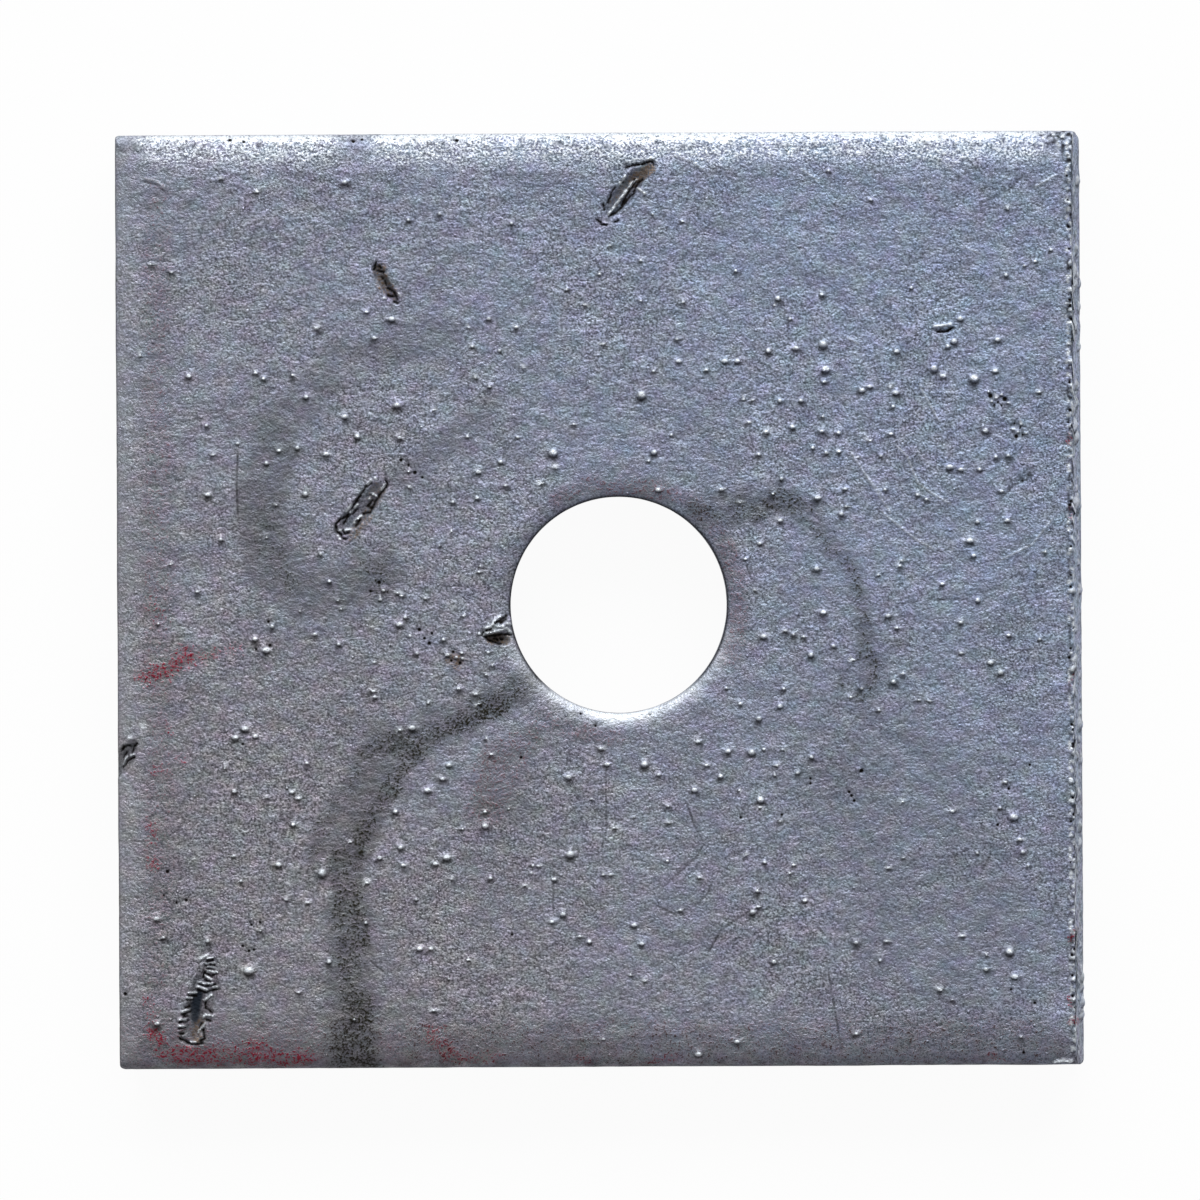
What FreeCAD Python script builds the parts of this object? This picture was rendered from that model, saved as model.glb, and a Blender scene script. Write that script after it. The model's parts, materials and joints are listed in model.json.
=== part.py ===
# Square bearing plate for a bolt: rolled flat bar, sheared to length, punched, then hot-dip galvanised.
#
# Millimetres. +X runs along the bar, from the first shear cut to the second; +Y runs across the bar,
# between its rolled edges; +Z points out of the struck face, the one that the punch entered.
# The origin is the centre of the underside, which bears on the timber.
#
# The plate is made the way the real one is: the bar's section is drawn and padded along the bar,
# the two shear cuts trim its ends, the punch opens the hole, and handling leaves scars on the face.
import FreeCAD, Part
import math
import os

import Sketcher

NODE = "bearing_plate"

# A sketch's own origin: the first point of its level axis
ORIGIN = (-1, 1)

# Name, value and meaning of each driving size
SIZES = (
    ("bar_width", 75.0, "across the bar, over its two rolled edges"),
    ("bar_thickness", 6.35, "quarter-inch bar"),
    ("edge_shoulder_width", 3.2, "where the flat ends, in from a rolled edge"),
    ("edge_shoulder_radius", 9.0, "the slow curve of a rolled edge"),
    ("edge_nose_radius", 1.2, "the quick curve of a rolled edge, down to its side"),
    ("cut_length", 77.5, "along the bar, over the two shear cuts"),
    ("shear_droop_width", 2.4, "where the shear blade pulled the face down, in from the cut"),
    ("shear_droop_radius", 6.0, "the slow curve of that droop"),
    ("shear_nose_radius", 0.4, "the quick curve of that droop, down to the cut"),
    ("shear_break_share", 0.5, "the torn part of the cut, as a share of the thickness"),
    ("shear_break_setback", 0.8, "how far the torn part leans in"),
    ("hole_diameter", 17.4, "the punched bolt hole, for a 16 mm bolt"),
    ("hole_along", 1.5, "how far the punch missed the plate's middle, along the bar"),
    ("hole_across", -0.4, "how far it missed, across the bar"),
    ("punch_droop_width", 1.6, "where the punch pulled the face down, out from the hole"),
    ("punch_droop_radius", 4.0, "the slow curve of that droop"),
    ("punch_nose_radius", 0.4, "the quick curve of that droop, down to the wall"),
    ("breakout_share", 0.35, "the torn part of the hole, as a share of the thickness"),
    ("breakout_growth", 0.3, "how much the torn part widens the radius"),
)

# Scars in the struck face, left by pliers, chain and other plates. Each one's middle is placed from the
# nearer shear cut (the first is on the left) and the nearer rolled edge. Its angle is in degrees from +X.
SCAR_SIZES = ("from_cut", "from_edge", "length", "width", "depth", "angle")
SCARS = {
    "lower_jaw_scar": ("left", "lower", (6.6, 5.4, 7.5, 2.4, 0.5, 72.0)),
    "middle_jaw_scar": ("left", "upper", (19.6, 30.1, 6.2, 1.8, 0.45, 47.0)),
    "upper_gouge": ("right", "upper", (36.4, 4.7, 6.4, 1.6, 0.45, 52.0)),
    "upper_scratch": ("left", "upper", (21.6, 12.0, 3.9, 0.9, 0.35, 121.0)),
    "cut_edge_nick": ("left", "lower", (0.5, 24.9, 3.6, 1.6, 0.8, 58.0)),
}


def make_sheet(doc):
    """The spreadsheet of driving sizes: a name, the value and its meaning on each row."""
    sheet = doc.addObject("Spreadsheet::Sheet", "Sizes")
    rows = list(SIZES)
    for scar, (cut, edge, numbers) in SCARS.items():
        for size, number in zip(SCAR_SIZES, numbers):
            rows.append((f"{scar}_{size}", number, f"a scar by the {cut} cut and the {edge} edge"))
    for row, (alias, number, meaning) in enumerate(rows, start=1):
        sheet.set(f"A{row}", alias)
        sheet.set(f"B{row}", str(number))
        sheet.set(f"C{row}", meaning)
        sheet.setAlias(f"B{row}", alias)
    doc.recompute()
    return sheet


def cell(alias):
    """The expression that reads one size."""
    return f"<<Sizes>>.{alias}"


def plane(body, role):
    """One of a body's own origin planes."""
    return next(f for f in body.Origin.OriginFeatures if f.Role == role)


def bind(sketch, expression, kind, *where):
    """Adds a size constraint to a sketch at the value that its expression has now, and binds it."""
    now = float(sketch.evalExpression(expression))
    number = sketch.addConstraint(Sketcher.Constraint(kind, *where, now))
    sketch.setExpression(f"Constraints[{number}]", expression)


def line(start, end):
    """A straight segment of a profile, with the end numbers that the profile enters and leaves it by."""
    return Part.LineSegment(FreeCAD.Vector(*start, 0), FreeCAD.Vector(*end, 0)), 1, 2


def arc(centre, radius, start, end):
    """An arc of a profile from one angle to another, in degrees. It may turn either way."""
    circle = Part.Circle(FreeCAD.Vector(*centre, 0), FreeCAD.Vector(0, 0, 1), radius)
    low, high = math.radians(min(start, end)), math.radians(max(start, end))
    first, last = (1, 2) if end > start else (2, 1)
    return Part.ArcOfCircle(circle, low, high), first, last


def centre_of(number):
    """The centre of an arc or circle, which a sketch counts as its third point."""
    return number, 3


def put_on_axis(sketch, point, axis):
    """Puts a point on the sketch's own level or upright axis, which it numbers -1 and -2."""
    number = -2 if axis == "upright" else -1
    sketch.addConstraint(Sketcher.Constraint("PointOnObject", *point, number))


class Profile:
    """A closed chain of segments in a sketch, whose sizes are bound to the sheet."""

    def __init__(self, sketch, segments, smooth):
        """smooth holds the places in the chain where a segment runs smoothly into the next."""
        self.sketch = sketch
        self.ends = []
        for shape, first, last in segments:
            self.ends.append((sketch.addGeometry(shape, False), first, last))
        for place in range(len(segments)):
            kind = "Tangent" if place in smooth else "Coincident"
            following = (place + 1) % len(segments)
            self.tie(kind, self.last(place), self.first(following))

    def first(self, place):
        """The point where the chain enters a segment."""
        number, first, _ = self.ends[place]
        return number, first

    def last(self, place):
        """The point where the chain leaves a segment."""
        number, _, last = self.ends[place]
        return number, last

    def centre(self, place):
        """An arc's centre."""
        return centre_of(self.ends[place][0])

    def tie(self, kind, *points):
        """A constraint with no size, between points."""
        flat = [number for point in points for number in point]
        self.sketch.addConstraint(Sketcher.Constraint(kind, *flat))

    def upright(self, *places):
        """Makes straight segments upright."""
        for place in places:
            self.sketch.addConstraint(Sketcher.Constraint("Vertical", self.ends[place][0]))

    def level(self, *places):
        """Makes straight segments level."""
        for place in places:
            self.sketch.addConstraint(Sketcher.Constraint("Horizontal", self.ends[place][0]))

    def distance(self, kind, low, high, expression):
        """DistanceX or DistanceY from one point to another, bound to an expression."""
        bind(self.sketch, expression, kind, *low, *high)

    def radius(self, place, expression):
        """An arc's radius, bound to an expression."""
        bind(self.sketch, expression, "Radius", self.ends[place][0])


class Shoulder:
    """Two arcs, slow then quick, that take a flat face down to an upright wall.

    The slow one leaves the face smoothly, the quick one meets both it and the wall smoothly, and together
    they reach the stated width along the face."""

    def __init__(self, value, slow_radius, quick_radius, width):
        self.names = slow_radius, quick_radius, width
        self.slow, self.quick, self.width = value(slow_radius), value(quick_radius), value(width)
        self.turn = math.asin((self.width - self.quick) / (self.slow - self.quick))
        lean = self.slow * (1 - math.cos(self.turn))
        self.drop = lean + self.quick * math.cos(self.turn)

    def arcs(self, wall, face, outward, upward):
        """The two arcs in order from face to wall. outward and upward are 1 or -1: the sides on which
        the wall and the face lie."""
        turn = math.degrees(self.turn)
        far = self.slow - self.quick
        slow_centre = (wall - outward * self.width, face - upward * self.slow)
        quick_centre = (
            slow_centre[0] + outward * far * math.sin(self.turn),
            slow_centre[1] + upward * far * math.cos(self.turn),
        )
        start, sign = 90 * upward, -outward * upward
        middle, end = start + sign * turn, start + sign * 90
        return [
            arc(slow_centre, self.slow, start, middle),
            arc(quick_centre, self.quick, middle, end),
        ]

    def bind(self, profile, slow_place, quick_place, face_point, wall_point, outward):
        """Binds the two arcs' radii and their reach along the face."""
        slow_radius, quick_radius, width = self.names
        profile.radius(slow_place, cell(slow_radius))
        profile.radius(quick_place, cell(quick_radius))
        low, high = (face_point, wall_point) if outward > 0 else (wall_point, face_point)
        profile.distance("DistanceX", low, high, cell(width))


def reverse(segments):
    """The same segments, walked the other way."""
    return [(shape, last, first) for shape, first, last in reversed(segments)]


def new_sketch(body, name, role):
    """An empty sketch on one of the body's origin planes."""
    sketch = body.newObject("Sketcher::SketchObject", name)
    sketch.AttachmentSupport = [(plane(body, role), "")]
    sketch.MapMode = "FlatFace"
    return sketch


def roll_bar(body, value):
    """The flat bar: a section with four soft shoulders, padded along X past both shear cuts."""
    half, thick = value("bar_width") / 2, value("bar_thickness")
    soft = Shoulder(value, "edge_shoulder_radius", "edge_nose_radius", "edge_shoulder_width")
    flat = half - soft.width
    segments = [line((-flat, thick), (flat, thick))]
    segments += soft.arcs(half, thick, 1, 1)
    segments += [line((half, thick - soft.drop), (half, soft.drop))]
    segments += reverse(soft.arcs(half, 0, 1, -1))
    segments += [line((flat, 0), (-flat, 0))]
    segments += soft.arcs(-half, 0, -1, -1)
    segments += [line((-half, soft.drop), (-half, thick - soft.drop))]
    segments += reverse(soft.arcs(-half, thick, -1, 1))
    top, right, bottom, left = 0, 3, 6, 9

    sketch = new_sketch(body, "BarSection", "YZ_Plane")
    chain = Profile(sketch, segments, smooth=range(len(segments)))
    chain.level(top, bottom)
    chain.upright(right, left)
    chain.distance("DistanceX", ORIGIN, chain.first(right), cell("bar_width") + " / 2")
    chain.distance("DistanceX", chain.first(left), ORIGIN, cell("bar_width") + " / 2")
    chain.distance("DistanceY", chain.first(bottom), chain.first(top), cell("bar_thickness"))
    put_on_axis(sketch, chain.first(bottom), "level")
    soft.bind(chain, top + 1, top + 2, chain.last(top), chain.first(right), 1)
    soft.bind(chain, right + 2, right + 1, chain.first(bottom), chain.last(right), 1)
    soft.bind(chain, bottom + 1, bottom + 2, chain.last(bottom), chain.first(left), -1)
    soft.bind(chain, left + 2, left + 1, chain.first(top), chain.last(left), -1)

    pad = body.newObject("PartDesign::Pad", "RolledBar")
    pad.Profile = sketch
    pad.SideType = "Symmetric"
    pad.setExpression("Length", f"{cell('cut_length')} + 2 * {cell('shear_droop_width')}")
    return pad


def shear_end(sketch, value, way):
    """What one shear cut takes off. way 1 is the first cut, whose droop is on the struck face. way -1 is the
    second, the same cut turned over: its droop is underneath and its torn part is on top."""
    thick, spare = value("bar_thickness"), value("shear_droop_width")
    droop = Shoulder(value, "shear_droop_radius", "shear_nose_radius", "shear_droop_width")
    cut = -way * value("cut_length") / 2
    face, far = (thick, 0) if way > 0 else (0, thick)
    break_end = far + way * value("shear_break_share") * thick
    torn = cut + way * value("shear_break_setback")
    outside = cut - way * 2 * spare
    droop_start = cut + way * droop.width
    above, below = face + way * spare, far - way * spare

    segments = droop.arcs(cut, face, -way, way)
    segments += [
        line((cut, face - way * droop.drop), (cut, break_end)),
        line((cut, break_end), (torn, far)),
        line((torn, far), (torn, below)),
        line((torn, below), (outside, below)),
        line((outside, below), (outside, above)),
        line((outside, above), (droop_start, above)),
        line((droop_start, above), (droop_start, face)),
    ]
    slow, quick, land, tear, tear_run, low_run, back, high_run, face_run = range(9)
    chain = Profile(sketch, segments, smooth=(slow, quick))
    chain.upright(land, tear_run, back, face_run)
    chain.level(low_run, high_run)
    chain.tie("Vertical", chain.first(slow), chain.centre(slow))

    def apart(kind, low, high, expression):
        pair = (low, high) if way > 0 else (high, low)
        chain.distance(kind, *pair, expression)

    apart("DistanceX", chain.first(land), ORIGIN, cell("cut_length") + " / 2")
    apart("DistanceX", chain.first(land), chain.last(tear), cell("shear_break_setback"))
    apart("DistanceX", chain.first(back), chain.first(land), "2 * " + cell("shear_droop_width"))
    break_height = f"{cell('shear_break_share')} * {cell('bar_thickness')}"
    apart("DistanceY", chain.last(tear), chain.last(land), break_height)
    apart("DistanceY", chain.last(tear), chain.first(slow), cell("bar_thickness"))
    apart("DistanceY", chain.last(tear_run), chain.last(tear), cell("shear_droop_width"))
    apart("DistanceY", chain.first(slow), chain.first(face_run), cell("shear_droop_width"))
    droop.bind(chain, slow, quick, chain.first(slow), chain.first(land), -way)
    put_on_axis(sketch, chain.last(tear) if way > 0 else chain.first(slow), "level")


def shear_ends(body, value):
    """Both shear cuts, through the whole width of the bar."""
    sketch = new_sketch(body, "ShearCuts", "XZ_Plane")
    for way in (1, -1):
        shear_end(sketch, value, way)
    pocket = body.newObject("PartDesign::Pocket", "ShearedEnds")
    pocket.Profile = sketch
    pocket.Type = "ThroughAll"
    pocket.SideType = "Symmetric"
    return pocket


def punch_hole(body, value):
    """The bolt hole: a droop where the punch went in, a straight wall, and a wider torn part below."""
    wall, thick = value("hole_diameter") / 2, value("bar_thickness")
    droop = Shoulder(value, "punch_droop_radius", "punch_nose_radius", "punch_droop_width")
    torn, break_end = wall + value("breakout_growth"), value("breakout_share") * thick
    mouth, spare = wall + droop.width, value("punch_droop_width")
    top, bottom = thick + spare, -spare

    segments = droop.arcs(wall, thick, -1, 1)
    segments += [
        line((wall, thick - droop.drop), (wall, break_end)),
        line((wall, break_end), (torn, 0)),
        line((torn, 0), (torn, bottom)),
        line((torn, bottom), (0, bottom)),
        line((0, bottom), (0, top)),
        line((0, top), (mouth, top)),
        line((mouth, top), (mouth, thick)),
    ]
    slow, quick, land, tear, tear_run, low_run, axis, high_run, face_run = range(9)
    sketch = new_sketch(body, "PunchProfile", "XZ_Plane")
    sketch.setExpression("AttachmentOffset.Base.x", cell("hole_along"))
    sketch.setExpression("AttachmentOffset.Base.z", "-" + cell("hole_across"))
    chain = Profile(sketch, segments, smooth=(slow, quick))
    chain.upright(land, tear_run, face_run)
    chain.level(low_run, high_run)
    chain.tie("Vertical", chain.first(slow), chain.centre(slow))
    put_on_axis(sketch, chain.first(axis), "upright")
    put_on_axis(sketch, chain.last(axis), "upright")
    put_on_axis(sketch, chain.last(tear), "level")
    chain.distance("DistanceX", ORIGIN, chain.first(land), cell("hole_diameter") + " / 2")
    chain.distance("DistanceX", chain.first(land), chain.last(tear), cell("breakout_growth"))
    break_height = f"{cell('breakout_share')} * {cell('bar_thickness')}"
    chain.distance("DistanceY", chain.last(tear), chain.last(land), break_height)
    chain.distance("DistanceY", chain.last(tear), chain.first(slow), cell("bar_thickness"))
    chain.distance("DistanceY", chain.last(tear_run), chain.last(tear), cell("punch_droop_width"))
    chain.distance("DistanceY", chain.first(slow), chain.first(face_run), cell("punch_droop_width"))
    droop.bind(chain, slow, quick, chain.first(slow), chain.first(land), -1)

    groove = body.newObject("PartDesign::Groove", "PunchedHole")
    groove.Profile = sketch
    groove.ReferenceAxis = (sketch, ["V_Axis"])
    groove.Angle = 360
    return groove


def sagitta_radius(chord, depth):
    """The expression for the radius of an arc from its chord and its depth."""
    return f"({chord} ^ 2 / 4 + {depth} ^ 2) / (2 * {depth})"


def gouge(body, scar):
    """One scar: the hollow that a round-rimmed disc leaves, standing on edge along the scar."""
    cut, edge, _ = SCARS[scar]
    from_cut, from_edge, length, width, depth, angle = (cell(f"{scar}_{size}") for size in SCAR_SIZES)
    along = f"({cell('cut_length')} / 2 - {from_cut})"
    across = f"({cell('bar_width')} / 2 - {from_edge})"
    disc, rim = sagitta_radius(length, depth), sagitta_radius(width, depth)
    reach = f"{disc} - {rim}"
    sketch = new_sketch(body, scar + "_rim", "XZ_Plane")
    turn = FreeCAD.Rotation(FreeCAD.Vector(0, 1, 0), 1)
    sketch.AttachmentOffset = FreeCAD.Placement(FreeCAD.Vector(), turn)
    sketch.setExpression("AttachmentOffset.Base.x", along if cut == "right" else "-" + along)
    sketch.setExpression("AttachmentOffset.Base.y", f"{cell('bar_thickness')} - {depth} + {disc}")
    sketch.setExpression("AttachmentOffset.Base.z", across if edge == "lower" else "-" + across)
    sketch.setExpression("AttachmentOffset.Rotation.Angle", f"{angle} + 90")

    centre = FreeCAD.Vector(0, -float(sketch.evalExpression(reach)), 0)
    circle = Part.Circle(centre, FreeCAD.Vector(0, 0, 1), float(sketch.evalExpression(rim)))
    number = sketch.addGeometry(circle, False)
    put_on_axis(sketch, centre_of(number), "upright")
    bind(sketch, rim, "Radius", number)
    bind(sketch, reach, "DistanceY", *centre_of(number), *ORIGIN)

    groove = body.newObject("PartDesign::Groove", scar)
    groove.Profile = sketch
    groove.ReferenceAxis = (sketch, ["H_Axis"])
    groove.Angle = 360
    return groove


def check(doc, body, cuts):
    """Every object built, every cut took something off, and one valid closed solid is left."""
    for item in doc.Objects:
        if "Invalid" in item.State or "Error" in item.State:
            raise RuntimeError(f"{item.Label} failed: {item.State}")
    for cut in cuts:
        if cut.Shape.Volume >= cut.BaseFeature.Shape.Volume:
            raise RuntimeError(f"{cut.Label} took nothing off")
    shape = body.Shape
    if shape.isNull() or not shape.isValid() or len(shape.Solids) != 1:
        raise RuntimeError(f"{body.Label} isn't one valid solid")


def main():
    doc = FreeCAD.newDocument("BearingPlate")
    sheet = make_sheet(doc)

    def value(alias):
        return float(sheet.get(alias))

    body = doc.addObject("PartDesign::Body", "BearingPlate")
    body.Label = NODE
    roll_bar(body, value)
    doc.recompute()
    cuts = [shear_ends(body, value)]
    doc.recompute()
    cuts.append(punch_hole(body, value))
    doc.recompute()
    for scar in SCARS:
        cuts.append(gouge(body, scar))
    doc.recompute()
    check(doc, body, cuts)
    os.makedirs("parts", exist_ok=True)
    body.Shape.exportStep(f"parts/{body.Label}.step")
    print(f"{body.Label}: {body.Shape.Volume:.1f} mm3")


main()
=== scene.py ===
"""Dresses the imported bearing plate: hot-dip zinc on sheared and punched steel, on a plain pale stage.

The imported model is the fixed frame. The mesh code works in millimetres in that frame: the origin is the
middle of the underside, X runs along the bar, Y across it and Z out of the struck face.
"""

import json
import math
from collections import namedtuple

import bmesh
import bpy
import numpy as np
from bpy.props import FloatProperty, FloatVectorProperty, IntProperty, PointerProperty
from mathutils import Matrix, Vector, noise
from mathutils.geometry import delaunay_2d_cdt


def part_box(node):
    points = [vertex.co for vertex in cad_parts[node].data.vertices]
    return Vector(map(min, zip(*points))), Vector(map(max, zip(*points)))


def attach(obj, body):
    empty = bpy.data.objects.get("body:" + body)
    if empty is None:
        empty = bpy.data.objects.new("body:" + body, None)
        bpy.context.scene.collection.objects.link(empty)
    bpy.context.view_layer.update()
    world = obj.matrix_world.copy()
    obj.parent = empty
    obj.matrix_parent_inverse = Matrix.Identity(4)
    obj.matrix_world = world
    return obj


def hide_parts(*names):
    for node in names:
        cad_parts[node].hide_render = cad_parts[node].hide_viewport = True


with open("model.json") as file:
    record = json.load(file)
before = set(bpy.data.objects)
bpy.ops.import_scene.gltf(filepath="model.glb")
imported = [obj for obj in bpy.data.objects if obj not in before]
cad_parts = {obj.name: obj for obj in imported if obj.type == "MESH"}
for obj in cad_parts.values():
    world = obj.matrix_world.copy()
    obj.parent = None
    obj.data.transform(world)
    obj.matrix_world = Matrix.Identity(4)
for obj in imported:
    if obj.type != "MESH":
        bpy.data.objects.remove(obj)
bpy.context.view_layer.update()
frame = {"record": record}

bl_info = {
    "name": "Galvanised Bearing Plate",
    "version": (1, 0, 0),
    "blender": (4, 5, 0),
    "location": "3D View > Sidebar > Bearing Plate",
    "description": "Makes a sheared, punched and hot-dip galvanised steel plate, and a plain stage for it",
    "category": "Add Mesh",
}

MM = 0.001
PLATE_LOW, PLATE_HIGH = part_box("bearing_plate")
BOLT_HOLE = next(mount for mount in frame["record"]["mounts"] if mount["name"] == "bolt_hole")
HOLE_RADIUS = BOLT_HOLE["dims"]["r_mm"] * MM
HOLE_ALONG, HOLE_ACROSS = BOLT_HOLE["pos_m"][:2]

# The tables that follow hold marks of the coat and of use, read from a photograph, as places along
# and across the plate in mm.

# Zinc pimples that stand out on the face. The rest are scattered.
LARGE_PIMPLES = (
    (-3.7, 11.8), (3.4, 16.4), (18.0, 20.4), (18.2, 18.4), (26.9, 18.4), (30.1, 17.6), (-12.4, -20.6),
    (-22.4, -21.8), (-28.3, -29.6), (-2.5, -20.4), (3.5, -13.2), (12.1, -12.3), (12.8, -16.1),
    (33.1, -17.6), (32.7, -28.4),
)
PIMPLES = (
    (-20.3, 33.6), (-16.2, 15.7), (-20.4, 14.8), (-23.5, 16.4), (-19.4, 13.2), (-16.0, 13.1),
    (-25.7, 12.1), (-21.9, 11.8), (-31.0, 11.8), (-29.0, 12.7), (-24.2, 12.3), (-26.7, 11.1),
    (-23.6, 8.6), (-31.4, 8.6), (-7.9, 11.1), (-9.7, 10.3), (-30.4, 5.0), (-22.4, 3.8), (-21.7, 1.6),
    (-32.9, 18.1), (-18.0, 21.1), (-22.6, 21.9), (-18.6, 23.2), (-16.6, 22.6), (-6.6, 21.9), (-8.8, 22.6),
    (4.4, 11.8), (6.4, 19.1), (10.1, 19.1), (11.1, 19.1), (15.8, 20.1), (18.1, 17.4), (16.2, 15.9),
    (14.5, 15.9), (15.5, 13.8), (13.4, 13.4), (19.2, 13.3), (5.8, 13.2), (18.2, 11.7), (19.2, 11.8),
    (12.8, 11.6), (14.4, 24.1), (17.9, 24.4), (13.6, 19.9), (23.9, 19.8), (27.6, 17.8), (31.8, 18.2),
    (29.0, 22.4), (25.1, 24.9), (32.7, 25.9), (36.3, 27.9), (31.8, 11.3), (32.8, 11.4), (31.0, 13.4),
    (9.8, 8.8), (4.7, 8.8), (14.5, 6.3), (17.5, 8.1), (19.4, 6.8), (19.7, 8.8), (-16.1, -1.9),
    (-28.5, -10.2), (-29.3, -10.9), (-27.7, -10.8), (-18.1, -7.7), (-10.0, -7.5), (-15.1, -10.2),
    (-12.2, -13.2), (-12.7, -14.3), (-13.9, -15.2), (-16.5, -16.9), (-16.1, -19.8), (-17.8, -20.6),
    (-13.3, -21.1), (-15.9, -21.2), (-29.5, -20.4), (-25.9, -21.1), (-24.7, -17.9), (-29.4, -15.2),
    (-24.8, -15.3), (-35.7, -25.4), (-25.3, -23.9), (-31.6, -27.2), (-18.8, -22.6), (-18.9, -25.8),
    (-9.3, -18.1), (-2.6, -14.2), (0.5, -13.2), (-3.8, -22.4), (-3.1, -25.2), (-4.0, -25.8),
    (-1.0, -27.4), (-14.6, -27.9), (-13.7, -27.9), (-35.7, -33.8), (-21.9, -28.9), (13.1, -3.0),
    (18.7, -3.8), (16.9, -4.5), (14.7, -7.2), (14.4, -8.6), (12.7, -9.6), (11.2, -8.4), (7.8, -11.4),
    (10.2, -12.2), (8.5, -13.3), (9.6, -14.2), (7.5, -15.3), (16.9, -12.7), (23.5, -6.7), (28.2, -17.1),
    (33.6, -19.4), (33.8, -20.4), (13.1, -21.1), (12.5, -23.4), (12.1, -25.1), (16.3, -24.2),
    (20.4, -27.6), (30.8, -29.8), (33.1, -30.4), (27.1, -31.4), (7.7, -36.5), (13.8, -29.1),
    (10.8, -35.5), (32.1, -6.0), (31.3, -5.2), (2.6, -26.1), (3.2, -27.6), (21.1, 16.7), (21.7, 17.0),
    (23.8, 16.5), (23.6, 15.4), (30.3, 6.1), (32.7, 6.2), (29.7, 4.6), (30.0, 3.4), (30.3, -0.2),
    (17.4, 2.4), (17.9, -1.1), (23.1, -1.4), (28.1, 10.5), (29.0, 10.3), (30.5, 10.3),
)

# Rough lumps of zinc and small dirty pits, with their radii.
LUMPS = (
    (28.5, 20.6, 0.30), (28.0, 20.2, 0.22), (32.0, 20.7, 0.25), (-12.25, -4.35, 0.18),
    (-11.1, -4.2, 0.16), (-11.55, -4.55, 0.14), (-11.05, -4.65, 0.15), (-27.7, -3.0, 0.25),
    (-26.8, -3.9, 0.30), (-26.3, -2.0, 0.20), (35.6, 37.3, 0.10), (36.5, 37.2, 0.13), (37.2, 37.0, 0.16),
    (37.6, 36.4, 0.12), (37.7, 35.6, 0.10), (31.25, 16.55, 0.14), (32.3, 16.3, 0.15),
    (31.85, 16.05, 0.11), (32.8, 15.65, 0.10), (31.5, 15.75, 0.10), (33.6, 13.3, 0.12),
    (33.85, 13.9, 0.10), (33.2, 13.5, 0.10), (34.25, 13.2, 0.10),
)
PITS = (
    (20.9, -13.8, 0.22), (20.3, -16.2, 0.16), (20.1, -15.8, 0.16), (19.9, -15.5, 0.16),
    (16.8, -14.4, 0.14), (16.8, -14.8, 0.14), (31.4, 16.2, 0.24), (32.55, 15.95, 0.26),
    (32.0, 15.7, 0.12), (31.7, 15.5, 0.10), (32.3, 15.4, 0.10), (33.45, 12.95, 0.22), (33.3, 14.0, 0.10),
    (33.75, 13.6, 0.10), (33.95, 13.1, 0.10), (-15.9, 11.3, 0.18), (-15.3, 10.9, 0.14),
    (-14.8, 10.3, 0.20), (-14.2, 9.9, 0.14), (-14.5, -2.3, 0.20), (-14.1, -3.0, 0.16),
    (-13.7, -3.4, 0.20), (-13.5, -2.6, 0.14), (-17.7, 1.5, 0.20), (-18.4, 0.8, 0.16), (34.7, -32.5, 0.16),
    (32.8, -31.4, 0.14), (33.8, -36.5, 0.16), (32.7, -15.3, 0.16), (31.8, -18.2, 0.16),
    (34.4, -13.4, 0.14), (14.5, -17.3, 0.14), (-7.2, -26.8, 0.14), (-6.4, -12.6, 0.16),
    (11.2, -17.5, 0.14), (-38.3, -31.4, 0.20), (-26.6, -1.6, 0.16), (-26.5, -3.5, 0.18),
    (-27.6, -3.8, 0.14), (-28.7, -11.4, 0.14), (-27.9, -27.9, 0.14), (-28.8, -27.6, 0.16),
    (-28.3, -28.0, 0.16), (-28.1, -25.9, 0.14), (-27.4, -25.7, 0.14), (-34.8, -21.6, 0.20),
    (-33.3, -23.9, 0.16), (-34.1, -24.1, 0.14), (-35.1, -23.5, 0.12), (-19.6, 37.0, 0.20),
    (-18.9, 37.2, 0.16), (-29.5, 37.2, 0.20), (-28.4, 37.0, 0.16), (-11.3, 37.0, 0.18),
    (-11.8, -4.1, 0.15), (-11.25, -5.0, 0.18), (-11.95, -4.8, 0.14), (-1.6, -9.1, 0.13),
    (-0.4, -10.1, 0.11),
)

# Scars and raised flakes, with heights over the face and angles in degrees. The first five are those of the
# solid. Then come the zinc flake at the hole's rim and the hollow below it, a flake on the upper right of
# the face, and one at the lower right corner.
Scar = namedtuple("Scar", "along across length width height angle")
SCARS = (
    Scar(-32.15, -32.1, 7.5, 2.4, -0.45, 72.0),
    Scar(-19.15, 7.4, 6.2, 1.8, -0.40, 47.0),
    Scar(2.35, 32.8, 6.4, 1.6, -0.35, 52.0),
    Scar(-17.15, 25.5, 3.9, 0.9, -0.30, 121.0),
    Scar(-38.25, -12.6, 3.6, 1.6, -0.40, 58.0),
    Scar(-8.15, -2.0, 2.7, 1.3, 0.30, 27.0),
    Scar(-8.25, -3.1, 2.3, 1.0, -0.30, -12.0),
    Scar(27.65, 21.75, 1.9, 0.6, 0.22, 4.0),
    Scar(36.9, -37.2, 1.8, 0.5, 0.16, 3.0),
)
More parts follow.
